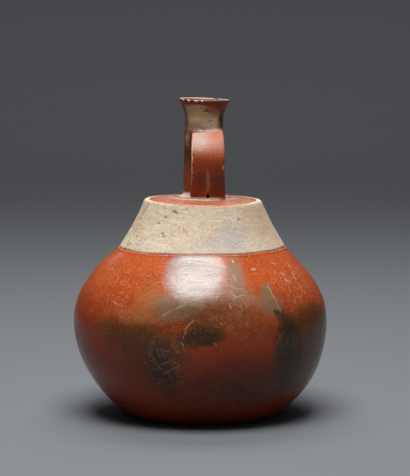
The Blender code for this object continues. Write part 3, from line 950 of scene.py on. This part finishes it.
# Thin scratches on the body: (turn, height, half length, half width, lean, strength)
SCRATCHES = (
    (-14.4, 0.0895, 0.0047, 0.0003, 26, 0.6), (-9.2, 0.0939, 0.0046, 0.0003, 29, 0.65),
    (-4.3, 0.0818, 0.0044, 0.00035, 47, 0.6), (-6.9, 0.0742, 0.0046, 0.0003, 72, 0.5),
    (-7.3, 0.0673, 0.0026, 0.0003, -74, 0.5), (15.9, 0.1018, 0.0026, 0.00035, -42, 0.6),
    (19.7, 0.1006, 0.004, 0.00035, 7, 0.6), (16.9, 0.1066, 0.0022, 0.0003, -46, 0.45),
    (20.1, 0.1054, 0.0032, 0.0003, 6, 0.4), (13.8, 0.0942, 0.0022, 0.00035, -72, 0.6),
    (18.9, 0.0932, 0.0022, 0.0003, -74, 0.6), (21.6, 0.0947, 0.0024, 0.0003, 88, 0.4),
    (18.8, 0.1123, 0.0025, 0.0003, -71, 0.35), (36.2, 0.1053, 0.003, 0.0004, -74, 0.6),
    (37.2, 0.0993, 0.0033, 0.00035, -76, 0.6), (38.2, 0.0915, 0.0047, 0.00035, -81, 0.5),
    (-21.0, 0.0564, 0.0055, 0.0003, -51, 0.45), (-19.3, 0.0505, 0.0067, 0.0003, -40, 0.4),
    (-18.7, 0.0622, 0.0043, 0.0003, -67, 0.4), (-14.8, 0.0618, 0.0045, 0.0003, -12, 0.45),
    (-14.7, 0.0539, 0.0078, 0.0003, 25, 0.5), (-13.5, 0.0475, 0.0071, 0.0003, 32, 0.45),
    (-14.3, 0.0444, 0.0056, 0.0003, -62, 0.45), (-22.7, 0.0408, 0.0048, 0.00025, -75, 0.35),
    (-10.4, 0.0632, 0.0041, 0.0003, -45, 0.45), (-7.3, 0.0659, 0.0045, 0.0003, -62, 0.4),
    (-18.8, 0.0385, 0.006, 0.0003, 23, 0.4), (-23.9, 0.0461, 0.0055, 0.00025, -76, 0.3),
    (-9.6, 0.0489, 0.0047, 0.0003, -27, 0.4), (51.2, 0.1127, 0.002, 0.0004, -36, 0.65),
    (51.3, 0.1075, 0.003, 0.0004, -33, 0.55), (59.8, 0.1098, 0.003, 0.00035, 66, 0.55),
    (59.3, 0.1009, 0.0025, 0.00035, 76, 0.45), (62.5, 0.1172, 0.0021, 0.00035, 77, 0.5),
    (49.9, 0.0929, 0.0014, 0.0005, -87, 0.7), (31.6, 0.1174, 0.0027, 0.0005, 4, 0.6),
    (49.1, 0.1202, 0.0027, 0.00035, -20, 0.5), (-60.8, 0.1146, 0.0032, 0.00035, 19, 0.4),
    (-43.6, 0.1085, 0.003, 0.00035, 18, 0.4), (-41.9, 0.0931, 0.0053, 0.0005, -14, 0.4),
    (19.9, 0.1234, 0.0008, 0.0008, -58, 0.8), (6.6, 0.0674, 0.0016, 0.0004, -46, 0.5),
)

# Places where the root marks are dense, as ovals without a colour
ROOTED_PLACES = (
    (52, 0.106, 0.024, 0.012, 0, 0.5, 0.8), (20, 0.101, 0.011, 0.011, 0, 0.6, 0.6),
    (-15, 0.055, 0.016, 0.022, 10, 0.6, 0.75), (-8, 0.08, 0.016, 0.01, 0, 0.6, 0.5),
    (-44, 0.103, 0.03, 0.014, 0, 0.6, 0.55), (-40, 0.085, 0.03, 0.006, 0, 0.6, 0.45),
    (22, 0.075, 0.022, 0.012, 0, 0.6, 0.3), (125, 0.088, 0.022, 0.02, 15, 0.6, 0.6),
    (-130, 0.072, 0.022, 0.022, -20, 0.6, 0.6),
)

# Smoke, wear and smears on the shoulder's slip
SHOULDER_CLOUDS = (
    ("dusky", 56, 0.154, 0.016, 0.009, 0, 0.7, 0.6), ("grey", 25, 0.141, 0.0105, 0.0085, 0, 0.6, 0.85),
    ("grey", 13, 0.135, 0.016, 0.0045, 0, 0.6, 0.6), ("dusky", 0, 0.1345, 0.018, 0.0055, 0, 0.7, 0.35),
    ("grey", 1, 0.1608, 0.0075, 0.0009, 0, 0.6, 0.45), ("pink", 53, 0.1392, 0.0042, 0.0036, 0, 0.7, 0.45),
    ("dusky", 70, 0.14, 0.012, 0.008, 0, 0.7, 0.4), ("dusky", -72, 0.15, 0.008, 0.01, 0, 0.7, 0.35),
    ("grey", -6.2, 0.1353, 0.0013, 0.0012, 0, 0.6, 0.7), ("grey", 140, 0.143, 0.02, 0.01, 0, 0.7, 0.6),
    ("dusky", 170, 0.154, 0.02, 0.008, 0, 0.7, 0.5), ("grey", -115, 0.15, 0.016, 0.007, 0, 0.7, 0.5),
    ("pink", -150, 0.137, 0.009, 0.005, 0, 0.7, 0.4),
)

# Thin marks and specks on the shoulder
SHOULDER_MARKS = (
    ("deep_red", -15.5, 0.1456, 0.003, 0.0005, -62, 0.5, 0.35),
    ("pink", -12.5, 0.1432, 0.0044, 0.0005, -50, 0.5, 0.75),
    ("pink", 14, 0.1532, 0.0014, 0.0005, 0, 0.5, 0.7), ("pink", 19, 0.1526, 0.0016, 0.0005, 0, 0.5, 0.7),
    ("pink", 8.3, 0.1484, 0.0011, 0.0006, 0, 0.5, 0.7), ("smoke", -65, 0.16, 0.004, 0.0005, 78, 0.5, 0.8),
    ("smoke", -69, 0.154, 0.003, 0.0005, 70, 0.5, 0.6),
    ("smoke", -68.4, 0.1456, 0.0018, 0.0006, 60, 0.5, 0.6),
    ("red", -69, 0.1325, 0.0034, 0.0006, 64, 0.5, 0.8), ("red", -66, 0.131, 0.003, 0.0006, 50, 0.5, 0.6),
    ("smoke", 61, 0.1545, 0.0034, 0.0004, -60, 0.5, 0.4), ("pink", 100, 0.144, 0.006, 0.0005, 20, 0.5, 0.7),
    ("pink", -150, 0.15, 0.005, 0.0005, 50, 0.5, 0.7), ("smoke", 155, 0.152, 0.003, 0.0005, -40, 0.5, 0.6),
)

# Slip on the spout: stains, places where it is worn to the clay, and painted shade beside the strap
SPOUT_PATCHES = (
    # The smoke oval at -60 degrees is painted shade, where the spout lies behind the strap's root
    ("umber", -70, 0.185, 0.012, 0.016, 0, 0.5, 0.6), ("smoke", -60, 0.201, 0.009, 0.01, 0, 0.5, 0.8),
    ("bare", -14, 0.227, 0.0135, 0.0105, 0, 0.25, 0.95),
    ("bare", -45, 0.225, 0.0075, 0.0105, 0, 0.35, 0.75), ("bare", 22, 0.223, 0.0085, 0.0085, 0, 0.35, 0.9),
    ("smoke", 72, 0.224, 0.006, 0.012, 0, 0.35, 0.95), ("umber", -72, 0.224, 0.005, 0.012, 0, 0.4, 0.8),
    ("smoke", -62, 0.233, 0.0014, 0.004, 0, 0.4, 0.9), ("rubbed", 6, 0.2205, 0.0085, 0.0042, 0, 0.6, 0.85),
    ("rubbed", 0, 0.217, 0.012, 0.0018, 0, 0.5, 0.8), ("bare", -58, 0.209, 0.003, 0.006, 0, 0.4, 0.6),
    ("red", 25, 0.2325, 0.007, 0.004, -20, 0.5, 0.7), ("smoke", 160, 0.21, 0.014, 0.022, 0, 0.5, 0.8),
    ("bare", 150, 0.228, 0.008, 0.006, 0, 0.4, 0.8),
)

# Slip on the strap, and a painted highlight down its left edge, where a distance to the right takes the
# place of the turn
STRAP_PATCHES = (
    ("deep_red", -0.004, 0.18, 0.004, 0.014, 0, 0.6, 0.55),
    ("smoke", 0.0135, 0.178, 0.005, 0.012, 0, 0.6, 0.6),
    ("smoke", 0.001, 0.181, 0.004, 0.007, 0, 0.6, 0.45),
    ("ochre", 0.0057, 0.178, 0.0014, 0.009, 0, 0.5, 0.95),
    ("ochre", 0.005, 0.17, 0.0022, 0.0032, 0, 0.5, 0.65),
    # Painted highlight: a pale line down the strap's rounded left edge
    ("rubbed", -0.0067, 0.197, 0.0009, 0.018, 0, 0.5, 0.85),
    ("bare", 0.017, 0.1895, 0.0009, 0.0014, 0, 0.5, 0.6),
    ("smoke", -0.0035, 0.1685, 0.0018, 0.0012, 0, 0.5, 0.7),
    ("grey", 0.001, 0.2095, 0.003, 0.003, 30, 0.6, 0.45),
)

# Random fields over the outside: (how a place is stretched first, scale per metre, detail, roughness)
FIELDS = {
    "broad": (None, 26.0, 3.0, 0.55),
    "rooty": (None, 38.0, 2.0, 0.55),
    "drifts": (None, 60.0, 5.0, 0.65),
    "frayed": (None, 60.0, 2.0, 0.55),
    "blotched": (None, 90.0, 5.0, 0.65),
    "mottle": (None, 150.0, 6.0, 0.7),
    "grimy": (None, 330.0, 4.0, 0.7),
    "fine": (None, 420.0, 5.0, 0.65),
    "spotty": (None, 650.0, 3.0, 0.6),
    "brushed": ((1.0, 1.0, 5.0), 70.0, 4.0, 0.6),
    "streaked": ((0.45, 1.5, 1.5), 300.0, 4.0, 0.6),
    "flaking": ((1.0, 1.0, 0.45), 480.0, 4.0, 0.6),
}

# Places that stray, for edges of more or less ragged ovals: (scale per metre, distance)
STRAYED_PLACES = {"ragged": (75.0, 0.016), "wispy": (260.0, 0.0042), "worn": (330.0, 0.004)}

# Root marks: (scale per metre, width, cover)
ROOT_LINES = ((120.0, 0.011, 0.5), (270.0, 0.02, 0.5))

# Specks: (scale per metre, size, cover)
SHOULDER_SPECKS = (480.0, 0.28, 0.05)
NECK_SPECKS = (1000.0, 0.36, 0.3)

# Painted highlight on the domed top, in front of the spout, as an oval
TOP_PAINTED_HIGHLIGHT = (6, 0.165, 0.024, 0.03, 0, 0.5, 1.0)

# Places of the shoulder's axis, the top's edge and the strap's flat, and how deep an oval reaches
SHOULDER_AXIS = (0.0019, 0.0, 0.0)
TOP_EDGE_FORWARD = (0.0, 0.0046, 0.0)
TOP_EDGE_TIP = 0.0148
STRAP_FRONT = -0.0245
OVAL_DEPTH = 0.045

# Where the looks change, as the two ends of each change: levels in metres, distances from the top's middle,
# and shares of the blend across the incised line. A band has two changes.
UPPER_STARTS = (0.15, 0.1502)
SPOUT_STARTS = (0.169, 0.17)
STRAP_STARTS = (0.1668, 0.1674)
STRAP_ENDS = (0.2188, 0.2178)
STRAP_OFF_AXIS = (0.0175, 0.0185)
SLIP_STARTS = (0.0404, 0.0408)
SLIP_ABOVE_LINE = (0.46, 0.54)
NEAR_TOP = (0.155, 0.16)
RED_EDGE = ((0.0385, 0.0392), (0.0408, 0.0402))
PINK_EDGE = ((0.04, 0.0403), (0.0409, 0.0405))
# Painted highlight: a pale band on the top in front of the spout
TOP_HIGHLIGHT_BAND = ((0.029, 0.027), (0.0215, 0.0235))
SPECKLED_NECK = ((0.225, 0.2215), (0.214, 0.2165))
# Painted highlight on the raised edge below the incised line
LIT_EDGE_UNDER_LINE = ((0.24, 0.38), (0.5, 0.44))
# Painted highlight along the lip's top, at its back
LIP_HIGHLIGHT_TOP = (0.23905, 0.23925)
LIP_HIGHLIGHT_BACK = (-0.004, 0.002)

# Softness of a scratch's edges, depths of the relief, and the burnished slip's index of refraction
SCRATCH_SOFTNESS = 0.6
SLIP_RELIEF = 0.00022
CLAY_RELIEF = 0.0006
SLIP_IOR = 1.4


def patch(nodes, at, place, spot, facing=False):
    """The mask of one oval: turn, height, half width, half height, lean in degrees, softness and strength.

    On the flat of the strap, a distance to the right takes the place of the turn."""
    turn, height, wide, tall, slant, soft, strength = spot
    middle = (turn, STRAP_FRONT, height) if facing else on_wall(turn, height)
    angle = 0.0 if facing else math.radians(turn)
    size = (wide, OVAL_DEPTH, tall)
    return nodes.mask(at.ovals, place, middle, angle, math.radians(slant), size, soft, strength)


def laid(nodes, at, place, table, colour, mottle=1.0, facing=False):
    """A colour with each oval of a table laid over it in turn, more or less by a mottle."""
    for name, *spot in table:
        share = nodes.times(patch(nodes, at, place, spot, facing), mottle)
        colour = nodes.blend(colour, nodes.named(name), share)
    return colour


def surface(nodes):
    """What the looks of the outside share: its measures, its random fields and the groups drawn on it."""
    place = nodes.add("ShaderNodeTexCoord").outputs["Object"]
    x, y, height = nodes.add("ShaderNodeSeparateXYZ", {0: place}).outputs
    at = SimpleNamespace(place=place, x=x, y=y, height=height)
    at.ovals, at.roots, at.specks = patch_group(), root_mark_group(), speck_group()
    for name in ("line", "above_line", "pits", "chips"):
        setattr(at, name, nodes.add("ShaderNodeAttribute", attribute_name=name).outputs["Fac"])
    for name, (stretch, *grain) in FIELDS.items():
        where = nodes.vector("MULTIPLY", place, stretch) if stretch else place
        setattr(at, name, nodes.cloudy(where, *grain))
    for name, stray in STRAYED_PLACES.items():
        setattr(at, name, nodes.strayed(place, *stray))
    at.flat = nodes.vector("MULTIPLY", nodes.vector("SUBTRACT", place, SHOULDER_AXIS), (1.0, 1.0, 0.0))
    at.radius = nodes.length(at.flat)
    at.mottled = nodes.rise(at.mottle, 0.3, 0.72)
    at.grained = nodes.plus(0.68, nodes.times(at.mottled, 0.46))
    at.lower = nodes.plus(height, nodes.swing(at.broad, 0.035))
    at.levelled = nodes.plus(height, nodes.swing(at.fine, 0.006))
    at.level = nodes.plus(at.levelled, nodes.swing(at.broad, 0.006))
    at.lipped = nodes.plus(height, nodes.times(x, 0.035))
    at.on_strap = nodes.times(
        nodes.rise(at.radius, *STRAP_OFF_AXIS),
        nodes.rise(height, *STRAP_ENDS),
        nodes.rise(height, *STRAP_STARTS))
    return at


def body_marks(nodes, at):
    """Where the body has root marks and scratches."""
    wandering, thready = [nodes.times(nodes.mask(at.roots, at.place, *kind), 0.75) for kind in ROOT_LINES]
    rooted = nodes.most(wandering, thready)
    marks = nodes.times(rooted, nodes.rise(at.rooty, 0.45, 0.65, 0.35))
    for spot in ROOTED_PLACES:
        marks = nodes.most(marks, nodes.times(patch(nodes, at, at.place, spot), rooted))
    for *stroke, strength in SCRATCHES:
        spot = (*stroke, SCRATCH_SOFTNESS, strength)
        marks = nodes.most(marks, patch(nodes, at, at.wispy, spot))
    return marks


def body_colour(nodes, at, marks):
    """Red slip, bright above and dark below, under fire clouds, red spots and marks."""
    cleared = nodes.plus(0.25, nodes.rise(at.drifts, 0.42, 0.58, 0.75))
    clouded = nodes.plus(0.3, nodes.rise(at.drifts, 0.56, 0.44, 0.7))
    flecked = nodes.times(nodes.rise(at.lower, 0.07, 0.092), clouded)
    colour = nodes.coated(
        nodes.named("red"),
        ("orange", nodes.times(nodes.rise(at.lower, 0.084, 0.116), cleared)),
        ("deep_red", at.lower, 0.094, 0.062, 0.95),
        ("deep_red", nodes.times(at.mottled, 0.36)),
        ("deep_red", at.spotty, 0.53, 0.64, 0.5),
        ("ochre", nodes.times(nodes.rise(at.spotty, 0.48, 0.39, 0.95), flecked)))
    colour = laid(nodes, at, at.wispy, SHARP_DARK_PATCHES, colour, at.grained)
    colour = laid(nodes, at, at.ragged, FIRE_CLOUDS + RED_SPOTS, colour, at.grained)
    return nodes.coated(colour, ("ochre", at.spotty, 0.43, 0.34, 0.3), ("mark", nodes.times(marks, 0.8)))


def shoulder_colour(nodes, at):
    """Brushed cream slip with smoke, stains, thin marks and flaked specks."""
    colour = nodes.coated(
        nodes.named("cream"),
        ("pale", at.brushed, 0.44, 0.62, 0.75),
        # Duskier towards the right, +X
        ("dusky", at.x, -0.022, 0.05, 0.45),
        ("dusky", at.blotched, 0.5, 0.62, 0.55),
        ("bare", at.drifts, 0.52, 0.4, 0.3),
        ("pale", at.height, 0.146, 0.133, 0.2))
    colour = laid(nodes, at, at.ragged, SHOULDER_CLOUDS, colour, at.grained)
    colour = nodes.coated(
        colour,
        ("dusky", at.spotty, 0.52, 0.62, 0.45),
        ("pale", at.spotty, 0.46, 0.38, 0.45))
    colour = laid(nodes, at, at.wispy, SHOULDER_MARKS, colour)
    flaked = nodes.times(nodes.rise(at.flaking, 0.59, 0.64), nodes.rise(at.x, -0.036, -0.052))
    flaked = nodes.plus(flaked, nodes.rise(at.flaking, 0.66, 0.7, 0.7))
    dots = nodes.mask(at.specks, at.place, *SHOULDER_SPECKS)
    return nodes.coated(colour, ("smoke", nodes.times(flaked, 0.8)), ("smoke", nodes.times(dots, 0.55)))


def top_colour(nodes, at):
    """Streaked pink and red slip on the top, with a painted highlight round the spout's foot and in a band
    in front of it.
    """
    # Painted highlight in front of the spout: an oval times a band
    pale = patch(nodes, at, at.wispy, TOP_PAINTED_HIGHLIGHT)
    band = nodes.between(at.radius, *TOP_HIGHLIGHT_BAND)
    return nodes.coated(
        nodes.named("pink"),
        ("red", at.streaked, 0.42, 0.62, 0.3),
        ("rubbed", at.streaked, 0.44, 0.34, 0.2),
        ("umber", nodes.plus(0.4, nodes.rise(at.spotty, 0.5, 0.62, 0.2))),
        # Painted highlight: pale round the spout's foot, then in the oval and band in front of it
        ("rubbed", at.radius, 0.0205, 0.0175, 0.8),
        ("rubbed", nodes.times(pale, nodes.times(band, 0.8))))


def spout_colour(nodes, at):
    """Thin red brown slip worn to the clay in places, with a dark slip on the flare and lip deepened as
    painted shade, and a painted highlight along the lip's top at the back.
    """
    colour = nodes.coated(
        nodes.named("umber"),
        ("red", at.levelled, 0.195, 0.178, 0.45),
        ("smoke", at.mottled, 0.3, 0.9, 0.4))
    colour = laid(nodes, at, at.worn, SPOUT_PATCHES, colour)
    spotted = nodes.mask(at.specks, at.place, *NECK_SPECKS)
    low_neck = nodes.between(at.height, *SPECKLED_NECK)
    flared = nodes.plus(at.levelled, nodes.most(nodes.times(at.x, 0.22), 0.0))
    return nodes.coated(
        colour,
        ("smoke", nodes.times(spotted, low_neck, 0.8)),
        # Dark slip on the flare and lip, deepened as painted shade; then a painted highlight along the lip's
        # top at the back
        ("deep_red", flared, 0.235, 0.2364, 0.94),
        ("smoke", at.lipped, 0.237, 0.2384, 0.86),
        ("rubbed", nodes.times(nodes.rise(at.lipped, *LIP_HIGHLIGHT_TOP), nodes.rise(at.y, *LIP_HIGHLIGHT_BACK))))


def strap_colour(nodes, at):
    """Dark slip at the strap's foot, redder upwards, and rubbed pale at its bend with a painted highlight
    that makes its left half paler.
    """
    # Worn pale at the bend, and paler to the left as a painted highlight
    rubbing_and_highlight = nodes.times(nodes.rise(at.level, 0.1985, 0.209), nodes.rise(at.x, 0.012, -0.001, 0.75))
    colour = nodes.coated(
        nodes.named("deep_red"),
        ("umber", at.level, 0.185, 0.1985),
        ("red", at.level, 0.19, 0.2, 0.6),
        ("pink", at.level, 0.195, 0.208, 0.8),
        ("rubbed", rubbing_and_highlight),
        ("umber", at.level, 0.198, 0.208, 0.32),
        ("deep_red", at.spotty, 0.53, 0.64, 0.35),
        ("smoke", at.grimy, 0.52, 0.75, 0.35))
    return laid(nodes, at, at.worn, STRAP_PATCHES, colour, facing=True)


def top_edge_distance(nodes, at):
    """Distance from the middle of the domed top, which grows down its side, with a slightly uneven edge."""
    tipped = nodes.plus(at.height, nodes.times(at.x, TOP_EDGE_TIP))
    below = nodes.most(nodes.calc("SUBTRACT", TOP_HEIGHT, tipped), 0.0)
    across = nodes.length(nodes.vector("ADD", at.flat, TOP_EDGE_FORWARD))
    return nodes.plus(across, nodes.times(below, 0.3), nodes.swing(at.fine, 0.0016))


def whole_colour(nodes, at, edge, shoulder, marks):
    """The colours of all the parts, with the top's red edge, the incised line, the painted highlight below
    it, the pits and the chips.
    """
    upper = nodes.blend(top_colour(nodes, at), spout_colour(nodes, at), nodes.rise(at.height, *SPOUT_STARTS))
    upper = nodes.blend(upper, strap_colour(nodes, at), at.on_strap)
    colour = nodes.blend(body_colour(nodes, at, marks), upper, nodes.rise(at.height, *UPPER_STARTS))
    colour = nodes.blend(colour, shoulder_colour(nodes, at), shoulder)
    red_edge = nodes.between(edge, *RED_EDGE)
    pink_edge = nodes.between(edge, *PINK_EDGE)
    # Painted highlight on the raised edge below the incised line, strongest at the sides
    worn = nodes.between(at.above_line, *LIT_EDGE_UNDER_LINE)
    sides = nodes.rise(nodes.calc("ABSOLUTE", at.x), 0.02, 0.045, 0.4)
    return nodes.coated(
        colour,
        ("red", nodes.times(red_edge, nodes.rise(at.height, *NEAR_TOP, 0.75))),
        ("pink", nodes.times(pink_edge, nodes.rise(at.height, *NEAR_TOP, 0.45))),
        ("deep_red", nodes.times(at.line, 0.9)),
        ("pink", nodes.times(worn, nodes.plus(sides, nodes.rise(at.frayed, 0.45, 0.62, 0.25)))),
        ("smoke", nodes.times(at.pits, 0.85)),
        ("cream", nodes.times(nodes.rise(at.chips, 0.25, 0.6), 0.75)))


def new_material(name, colours):
    """A material with nothing in its tree yet, and its node adder."""
    material = bpy.data.materials.new(name)
    material.use_nodes = True
    material.node_tree.nodes.clear()
    return material, Nodes(material.node_tree, colours)


def shaded(nodes, colour, roughness, relief, depth, **settings):
    """The material's shader, with a relief of a depth, and its output."""
    normal = nodes.add("ShaderNodeBump", {"Height": relief, "Strength": 1.0, "Distance": depth}).outputs[0]
    feeds = {"Base Color": colour, "Roughness": roughness, "Normal": normal, **settings}
    shader = nodes.add("ShaderNodeBsdfPrincipled", feeds)
    nodes.add("ShaderNodeOutputMaterial", {0: shader.outputs[0]})


def burnished_slip(colours):
    """The outside: burnished red slip and smoke on the body, cream slip on the shoulder, wear above, and
    painted highlights and shade in places.
    """
    material, nodes = new_material("burnished_slip", colours)
    at = surface(nodes)
    marks = body_marks(nodes, at)
    edge = top_edge_distance(nodes, at)
    shoulder = nodes.times(nodes.rise(at.above_line, *SLIP_ABOVE_LINE), nodes.rise(edge, *SLIP_STARTS))
    colour = whole_colour(nodes, at, edge, shoulder, marks)

    strokes_place = nodes.vector("MULTIPLY", nodes.strayed(at.place, 30.0, 0.004), (0.35, 0.35, 3.2))
    strokes = nodes.cloudy(strokes_place, 260.0, 3.0, 0.5)
    crossing = nodes.cloudy(nodes.strayed(at.place, 45.0, 0.01), 95.0, 2.0, 0.5)
    dull = nodes.most(nodes.times(marks, 0.5), nodes.times(at.pits, 0.6))
    rubbed_strap = nodes.times(nodes.rise(at.level, 0.197, 0.206), at.on_strap)
    rubbed = nodes.most(rubbed_strap, nodes.rise(at.lipped, 0.2365, 0.238))
    burnish = nodes.plus(0.2, nodes.rise(strokes, 0.35, 0.7, 0.1), nodes.rise(at.fine, 0.5, 0.8, 0.12),
                         nodes.times(dull, 0.35), nodes.times(rubbed, 0.34))
    matt = nodes.plus(0.56, nodes.times(at.brushed, 0.2))
    roughness = nodes.add("ShaderNodeMix", {0: shoulder, 2: burnish, 3: matt}).outputs[0]

    grain = nodes.times(at.fine, nodes.plus(0.25, nodes.times(shoulder, 0.8)))
    relief = nodes.plus(nodes.times(strokes, 0.4), nodes.times(crossing, 1.2), grain)
    relief = nodes.calc("SUBTRACT", relief, nodes.times(dull, 0.35))
    relief = nodes.plus(relief, nodes.times(shoulder, 0.5))
    shaded(nodes, colour, roughness, relief, SLIP_RELIEF, IOR=SLIP_IOR)
    return material


def bare_clay(colours):
    """The inside: bare fired clay, wiped with the fingers, stained by smoke, and darker towards the mouth.
    """
    material, nodes = new_material("bare_clay", colours)
    place = nodes.add("ShaderNodeTexCoord").outputs["Object"]
    height = nodes.add("ShaderNodeSeparateXYZ", {0: place}).outputs["Z"]
    stained = nodes.cloudy(place, 60.0, 5.0, 0.6)
    wiped = nodes.cloudy(nodes.vector("MULTIPLY", place, (1.0, 1.0, 6.0)), 70.0, 3.0, 0.5)
    grain = nodes.cloudy(place, 700.0, 4.0, 0.7)
    colour = nodes.coated(
        nodes.named("bare"),
        ("smoke", stained, 0.38, 0.66, 0.85),
        ("deep_red", wiped, 0.45, 0.7, 0.35),
        # Darker towards the mouth
        ("smoke", height, 0.205, 0.225, 0.92))
    relief = nodes.plus(wiped, nodes.times(grain, 0.5))
    roughness = nodes.plus(0.68, nodes.times(grain, 0.2))
    shaded(nodes, colour, roughness, relief, CLAY_RELIEF)
    return material


class CLAYBOTTLE_OT_finish(bpy.types.Operator):
    """Give the bottle its slips, smoke, marks and wear, with painted highlights and shade"""
    bl_idname = "clay_bottle.finish"
    bl_label = "Finish the surface"

    def execute(self, context):
        bottle = bpy.data.objects.get("bottle")
        if bottle is None:
            raise RuntimeError("there is no bottle to finish: model it first")
        colours = context.scene.clay_bottle_colours
        bottle.data.materials.clear()
        bottle.data.materials.append(burnished_slip(colours))
        bottle.data.materials.append(bare_clay(colours))
        return {"FINISHED"}


def dished_floor():
    """A round floor whose rim curves up into a low wall, which fills the picture behind the bottle."""
    floor = bmesh.new()
    bmesh.ops.create_circle(floor, cap_ends=True, segments=96, radius=FLOOR_RIM[0][0])
    edges = list(floor.edges)
    for (before, low), (now, high) in zip(FLOOR_RIM, FLOOR_RIM[1:]):
        rim, edges = extruded(floor, edges)
        bmesh.ops.scale(floor, vec=(now / before, now / before, 1.0), verts=rim)
        bmesh.ops.translate(floor, vec=(0.0, 0.0, high - low), verts=rim)
    bmesh.ops.recalc_face_normals(floor, faces=floor.faces)
    return floor


def soft_light(name, place, size, power):
    """A soft rectangular light that shines straight down."""
    light = bpy.data.lights.new(name, "AREA")
    light.shape = "RECTANGLE"
    light.size, light.size_y = size
    light.energy = power
    lamp = bpy.data.objects.new(name, light)
    lamp.location = place
    bpy.context.scene.collection.objects.link(lamp)


class CLAYBOTTLE_OT_stage(bpy.types.Operator):
    """Set up the floor, the lights and the camera"""
    bl_idname = "clay_bottle.stage"
    bl_label = "Set up the stage"

    def execute(self, context):
        studio = context.scene.clay_bottle_studio
        floor = linked("floor", dished_floor())
        floor.data.shade_smooth()
        paper = bpy.data.materials.new("floor_paper")
        paper.use_nodes = True
        shader = paper.node_tree.nodes["Principled BSDF"]
        shader.inputs["Base Color"].default_value = rgba(studio.floor)
        shader.inputs["Roughness"].default_value = 0.9
        shader.inputs["Specular IOR Level"].default_value = 0.1
        floor.data.materials.append(paper)

        width, length = studio.softbox_width, studio.softbox_length
        soft_light("softbox", SOFTBOX_PLACE, (width, length), studio.softbox_power)
        soft_light("behind", BEHIND_PLACE, BEHIND_SIZE, studio.behind_power)
        soft_light("far", FAR_PLACE, FAR_SIZE, studio.far_power)

        room = bpy.data.worlds.new("room")
        room.use_nodes = True
        backdrop = room.node_tree.nodes["Background"]
        backdrop.inputs["Color"].default_value = rgba(ROOM_COLOUR)
        backdrop.inputs["Strength"].default_value = studio.room_light
        context.scene.world = room

        lens = bpy.data.cameras.new("camera")
        lens.lens = studio.lens
        lens.sensor_width = 36.0
        lens.clip_start = 0.05
        camera = bpy.data.objects.new("camera", lens)
        camera.location = (CAMERA_ASIDE, -studio.camera_distance, studio.camera_height)
        camera.rotation_euler = (0.5 * math.pi - studio.camera_pitch, 0.0, 0.0)
        context.scene.collection.objects.link(camera)
        context.scene.camera = camera
        context.scene.view_settings.view_transform = "Standard"
        return {"FINISHED"}


class CLAYBOTTLE_PT_sidebar(bpy.types.Panel):
    """The bottle's operators, sizes, colours and studio"""
    bl_idname = "CLAYBOTTLE_PT_sidebar"
    bl_label = "Clay bottle"
    bl_space_type = "VIEW_3D"
    bl_region_type = "UI"
    bl_category = "Clay bottle"

    def draw(self, context):
        scene = context.scene
        for step in OPERATORS:
            self.layout.operator(step.bl_idname)
        for settings in (scene.clay_bottle_sizes, scene.clay_bottle_colours, scene.clay_bottle_studio):
            box = self.layout.box()
            for name in settings.__annotations__:
                box.prop(settings, name)


GROUPS = {
    "clay_bottle_sizes": ClayBottleSizes,
    "clay_bottle_colours": ClayBottleColours,
    "clay_bottle_studio": ClayBottleStudio,
}
OPERATORS = (CLAYBOTTLE_OT_model, CLAYBOTTLE_OT_finish, CLAYBOTTLE_OT_stage)


def register():
    """Make the settings, operators and panel known to Blender."""
    for name, group in GROUPS.items():
        bpy.utils.register_class(group)
        setattr(bpy.types.Scene, name, bpy.props.PointerProperty(type=group))
    for part in (*OPERATORS, CLAYBOTTLE_PT_sidebar):
        bpy.utils.register_class(part)


def unregister():
    """Take them away again."""
    for part in (CLAYBOTTLE_PT_sidebar, *reversed(OPERATORS)):
        bpy.utils.unregister_class(part)
    for name, group in reversed(GROUPS.items()):
        delattr(bpy.types.Scene, name)
        bpy.utils.unregister_class(group)


def main():
    """Build everything in order."""
    register()
    bpy.ops.clay_bottle.model()
    bpy.ops.clay_bottle.finish()
    bpy.ops.clay_bottle.stage()


if __name__ == "__main__":
    main()
